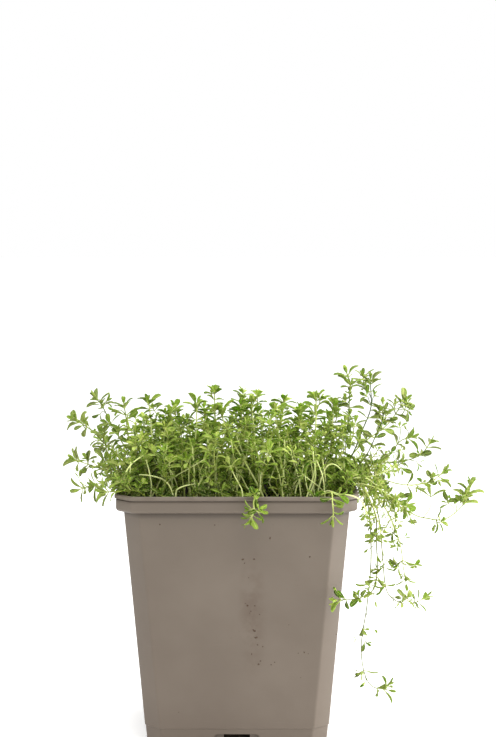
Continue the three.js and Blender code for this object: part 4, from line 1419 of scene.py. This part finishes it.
class THYME_OT_trailing_sprigs(bpy.types.Operator):
    """Grows the stems that trail down past the right side"""

    bl_idname = "thyme.trailing_sprigs"
    bl_label = "Trailing sprigs"

    def execute(self, context):
        grow_named(context, TRAILING, tints=(0.0, 0.4), pales=(0.2, 0.6), thin=0.68, leaf=1.0, slim=0.9)
        return {"FINISHED"}


class THYME_OT_rim_sprigs(bpy.types.Operator):
    """Grows the stems that hang over the front and the back of the rim"""

    bl_idname = "thyme.rim_sprigs"
    bl_label = "Rim sprigs"

    def execute(self, context):
        grow_named(context, RIM, tints=(0.0, 0.22), pales=(0.6, 0.8), thin=0.9, leaf=1.0, slim=1.0)
        return {"FINISHED"}


class THYME_OT_tuft(bpy.types.Operator):
    """Grows the stems that fill the bush between the others"""

    bl_idname = "thyme.tuft"
    bl_label = "Tuft"

    def execute(self, context):
        sprigs = {}
        edge = context.scene.thyme_compost.edge / MM
        for order, (root, tip) in enumerate(TUFT, 1):
            bend = [root[axis] + TUFT_BEND[0] * (tip[axis] - root[axis]) for axis in (0, 1)]
            height = edge + TUFT_BEND[1] * (tip[2] - edge)
            sprigs[f"tuft_{order:02d}"] = sprig(root, TUFT_BARE, [(*bend, height), tip])
        grow_named(
            context, sprigs, tints=(0.2, 0.58), pales=(0.5, 0.85), thin=0.85, leaf=1.06, slim=1.08, gap=0.78
        )
        return {"FINISHED"}


class THYME_OT_strands(bpy.types.Operator):
    """Grows the pale strands that cross the dark foot of the bush"""

    bl_idname = "thyme.strands"
    bl_label = "Pale strands"

    def execute(self, context):
        stems = context.scene.thyme_stems
        chance = random.Random(stems.seed + 11)
        growth = Growth(chance)
        radius = stems.fine_radius / MM
        for points in STRANDS:
            route = rooted(*points[0][:2], deep=3) + [Vector(place) for place in points]
            pale = chance.uniform(0.6, 0.95)
            growth.add_stem(route, (radius * 1.1, radius * 0.8), bare=0.9, leaf=0.8, pale=pale, sway=0.4)
        for _ in range(UPRIGHT_STRANDS):
            x, y = chance.uniform(-45, 45), chance.uniform(-43, -12)
            root, low = rooted(x, y, deep=3)
            rise = Vector((chance.gauss(0, 5), chance.uniform(-1, 5), chance.uniform(18, 36)))
            bow = Vector((chance.gauss(0, 1.8), 0, 0))
            growth.add_stem(
                [root, low, low + rise * 0.5 + bow, low + rise], (radius, radius * 0.7), bare=0.7, leaf=0.65,
                gap=0.9, tint=chance.uniform(0.2, 0.6), pale=chance.uniform(0.55, 1.0), slim=0.65, sway=0.6,
                steps=4, low_leaf=0.6
            )
        model_growth("pale_strands", growth)
        return {"FINISHED"}


class THYME_OT_fine_stems(bpy.types.Operator):
    """Grows the fine pale stems that stand close together between the main ones"""

    bl_idname = "thyme.fine_stems"
    bl_label = "Fine stems"

    def add_fine_stem(self, chance, growths, radius):
        """Draws one fine stem, and adds it to its piece unless it meets the pot or leans too far."""
        reach = FINE_REACH
        x, y = chance.uniform(-reach, reach), chance.uniform(-reach, reach)
        if abs(x) + abs(y) > 2 * reach - FINE_CUT:
            return
        draw = chance.random()
        kind = next(kind for kind in FINE_KINDS if draw <= kind["upto"])
        tall = chance.uniform(*kind["tall"]) + (kind["back"] if y > BACK_PART else 0)
        wild = kind["wild"]
        out_x, out_y = x / reach * FINE_FAN[0], y / reach * FINE_FAN[1]
        lean = Vector((out_x + chance.gauss(0, wild), out_y + chance.gauss(0, wild), 0))
        bow = Vector((chance.gauss(0, 3), chance.gauss(0, 3), 0))
        root, low = rooted(x, y)
        middle = root + lean * FINE_BEND[0] + bow + Vector((0, 0, ROOT_DEPTH + tall * FINE_BEND[1]))
        tip = root + lean + Vector((0, 0, ROOT_DEPTH + tall))
        if max(abs(tip.x), abs(tip.y)) > FINE_TIP_REACH or tip.y < FINE_TIP_FRONT:
            return
        if not (is_clear(middle, THIN_MARGIN) and is_clear(tip, THIN_MARGIN)):
            return
        piece = min(FINE_PIECES - 1, int((x + reach) / (2 * reach) * FINE_PIECES))
        growths[piece].add_stem(
            [root, low, middle, tip], (radius * chance.uniform(0.8, 1.15), radius * 0.55),
            bare=drawn(chance, kind["bare"]), leaf=chance.uniform(0.7, 1.05), gap=kind["gap"], shoots=0.1,
            tint=drawn(chance, kind["tint"]), pale=drawn(chance, kind["pale"]), slim=0.75, sway=1.0, steps=4,
            low_leaf=0.6
        )

    def add_corner_stem(self, chance, growth, side, radius):
        """Draws one short stem in a front corner, unless it meets the pot."""
        x, y = side * chance.uniform(42, 49), chance.uniform(-49, -15)
        if abs(x) + abs(y) > CORNER_REACH:
            return
        root, low = rooted(x, y)
        ground = compost_top(x, y)
        far, forward, high = side * chance.uniform(0, 9), chance.uniform(-4, 2), chance.uniform(10, 19)
        tip = Vector((x + far, y + forward, ground + high))
        middle = Vector((x + side * 1.5, y, (ground + tip.z) / 2 + 1))
        if is_clear(middle, THIN_MARGIN) and is_clear(tip, THIN_MARGIN):
            growth.add_stem(
                [root, low, middle, tip], (radius, radius * 0.6), bare=0.3, leaf=chance.uniform(0.75, 1.0),
                gap=0.6, tint=chance.uniform(0.25, 0.6), pale=chance.uniform(0.3, 0.6), slim=0.9, sway=0.3,
                steps=3, low_leaf=0.7
            )

    def execute(self, context):
        stems = context.scene.thyme_stems
        chance = random.Random(stems.seed)
        growths = [Growth(chance) for _ in range(FINE_PIECES)]
        radius = stems.fine_radius / MM
        for _ in range(stems.fine_count):
            self.add_fine_stem(chance, growths, radius)
        for side, growth in ((-1, growths[0]), (1, growths[-1])):
            for _ in range(CORNER_TRIES):
                self.add_corner_stem(chance, growth, side, radius)
        for number, growth in enumerate(growths, 1):
            model_growth(f"fine_stems_{number}", growth)
        return {"FINISHED"}


class THYME_OT_spilling_stems(bpy.types.Operator):
    """Grows the fine leafy stems that spill over the right, left and back of the rim"""

    bl_idname = "thyme.spilling_stems"
    bl_label = "Spilling stems"

    def add_spill(self, chance, growth, spill, radius, rim):
        """Draws one stem that arches over the rim, and adds it to a growth."""
        out = Vector((*spill["out"], 0))
        beside = Vector((-out.y, out.x, 0))
        inward, far = chance.uniform(36, 46), chance.uniform(*spill["far"])
        across = chance.uniform(*spill["along"])
        high = chance.uniform(*spill["high"])
        drift = chance.uniform(-7, 7)
        foot = out * inward + beside * across
        over = out * INSIDE_RIM + beside * (across + drift * 0.3)
        past = out * (OUTSIDE_RIM + far * 0.25) + beside * (across + drift * 0.6)
        tip = out * (OUTSIDE_RIM + far) + beside * (across + drift)
        arch = max(0.0, high) * 0.25 + 2.6 + chance.uniform(0, 3)
        route = rooted(foot.x, foot.y) + [
            over + Vector((0, 0, rim + arch * 0.8)),
            past + Vector((0, 0, rim + arch + min(0.0, high) * 0.1)),
            (past + tip) / 2 + Vector((0, 0, rim + arch * 0.5 + high * 0.45)),
            tip + Vector((0, 0, rim + high)),
        ]
        growth.add_stem(
            route, (radius, radius * 0.6), bare=0.35, leaf=spill["leaf"] * chance.uniform(0.65, 1.05),
            gap=0.85, shoots=0.25, tint=chance.uniform(*spill["tints"]), pale=chance.uniform(0.5, 0.95),
            slim=0.85, sway=0.7, steps=4, low_leaf=0.6
        )

    def execute(self, context):
        stems = context.scene.thyme_stems
        radius = stems.fine_radius / MM * 0.75
        rim = context.scene.thyme_pot.height / MM
        for name, spill in SPILLS.items():
            chance = random.Random(f"{name} {stems.seed}")
            growth = Growth(chance)
            for _ in range(spill["count"]):
                self.add_spill(chance, growth, spill, radius, rim)
            model_growth(f"spilling_stems_{name}", growth)
        return {"FINISHED"}


# ---------------------------------------------------------------- sidebar


class THYME_PT_sidebar(bpy.types.Panel):
    """Lists the steps that build the potted thyme, and its sizes and colours"""

    bl_idname = "THYME_PT_sidebar"
    bl_label = "Potted Thyme"
    bl_space_type = "VIEW_3D"
    bl_region_type = "UI"
    bl_category = "Thyme"

    def draw(self, context):
        column = self.layout.column(align=True)
        for step in STEPS:
            column.operator(step.bl_idname)
        for key, group in GROUPS.items():
            box = self.layout.box()
            box.label(text=group.__name__)
            settings = getattr(context.scene, key)
            for name in group.__annotations__:
                box.prop(settings, name)


STEPS = (
    THYME_OT_stage, THYME_OT_pot, THYME_OT_specks, THYME_OT_compost, THYME_OT_leaf_forms,
    THYME_OT_left_sprigs, THYME_OT_middle_sprigs, THYME_OT_right_sprigs, THYME_OT_trailing_sprigs,
    THYME_OT_rim_sprigs, THYME_OT_tuft, THYME_OT_strands, THYME_OT_fine_stems, THYME_OT_spilling_stems,
)
CLASSES = (*GROUPS.values(), *STEPS, THYME_PT_sidebar)


def register():
    """Registers the classes and gives the scene its settings."""
    for made in CLASSES:
        bpy.utils.register_class(made)
    for key, group in GROUPS.items():
        setattr(bpy.types.Scene, key, bpy.props.PointerProperty(type=group))


def unregister():
    """Takes back what register did."""
    for key in GROUPS:
        delattr(bpy.types.Scene, key)
    for made in reversed(CLASSES):
        bpy.utils.unregister_class(made)


def main():
    """Builds everything in order."""
    register()
    for step in STEPS:
        family, name = step.bl_idname.split(".")
        getattr(getattr(bpy.ops, family), name)()
    deselect()


if __name__ == "__main__":
    main()
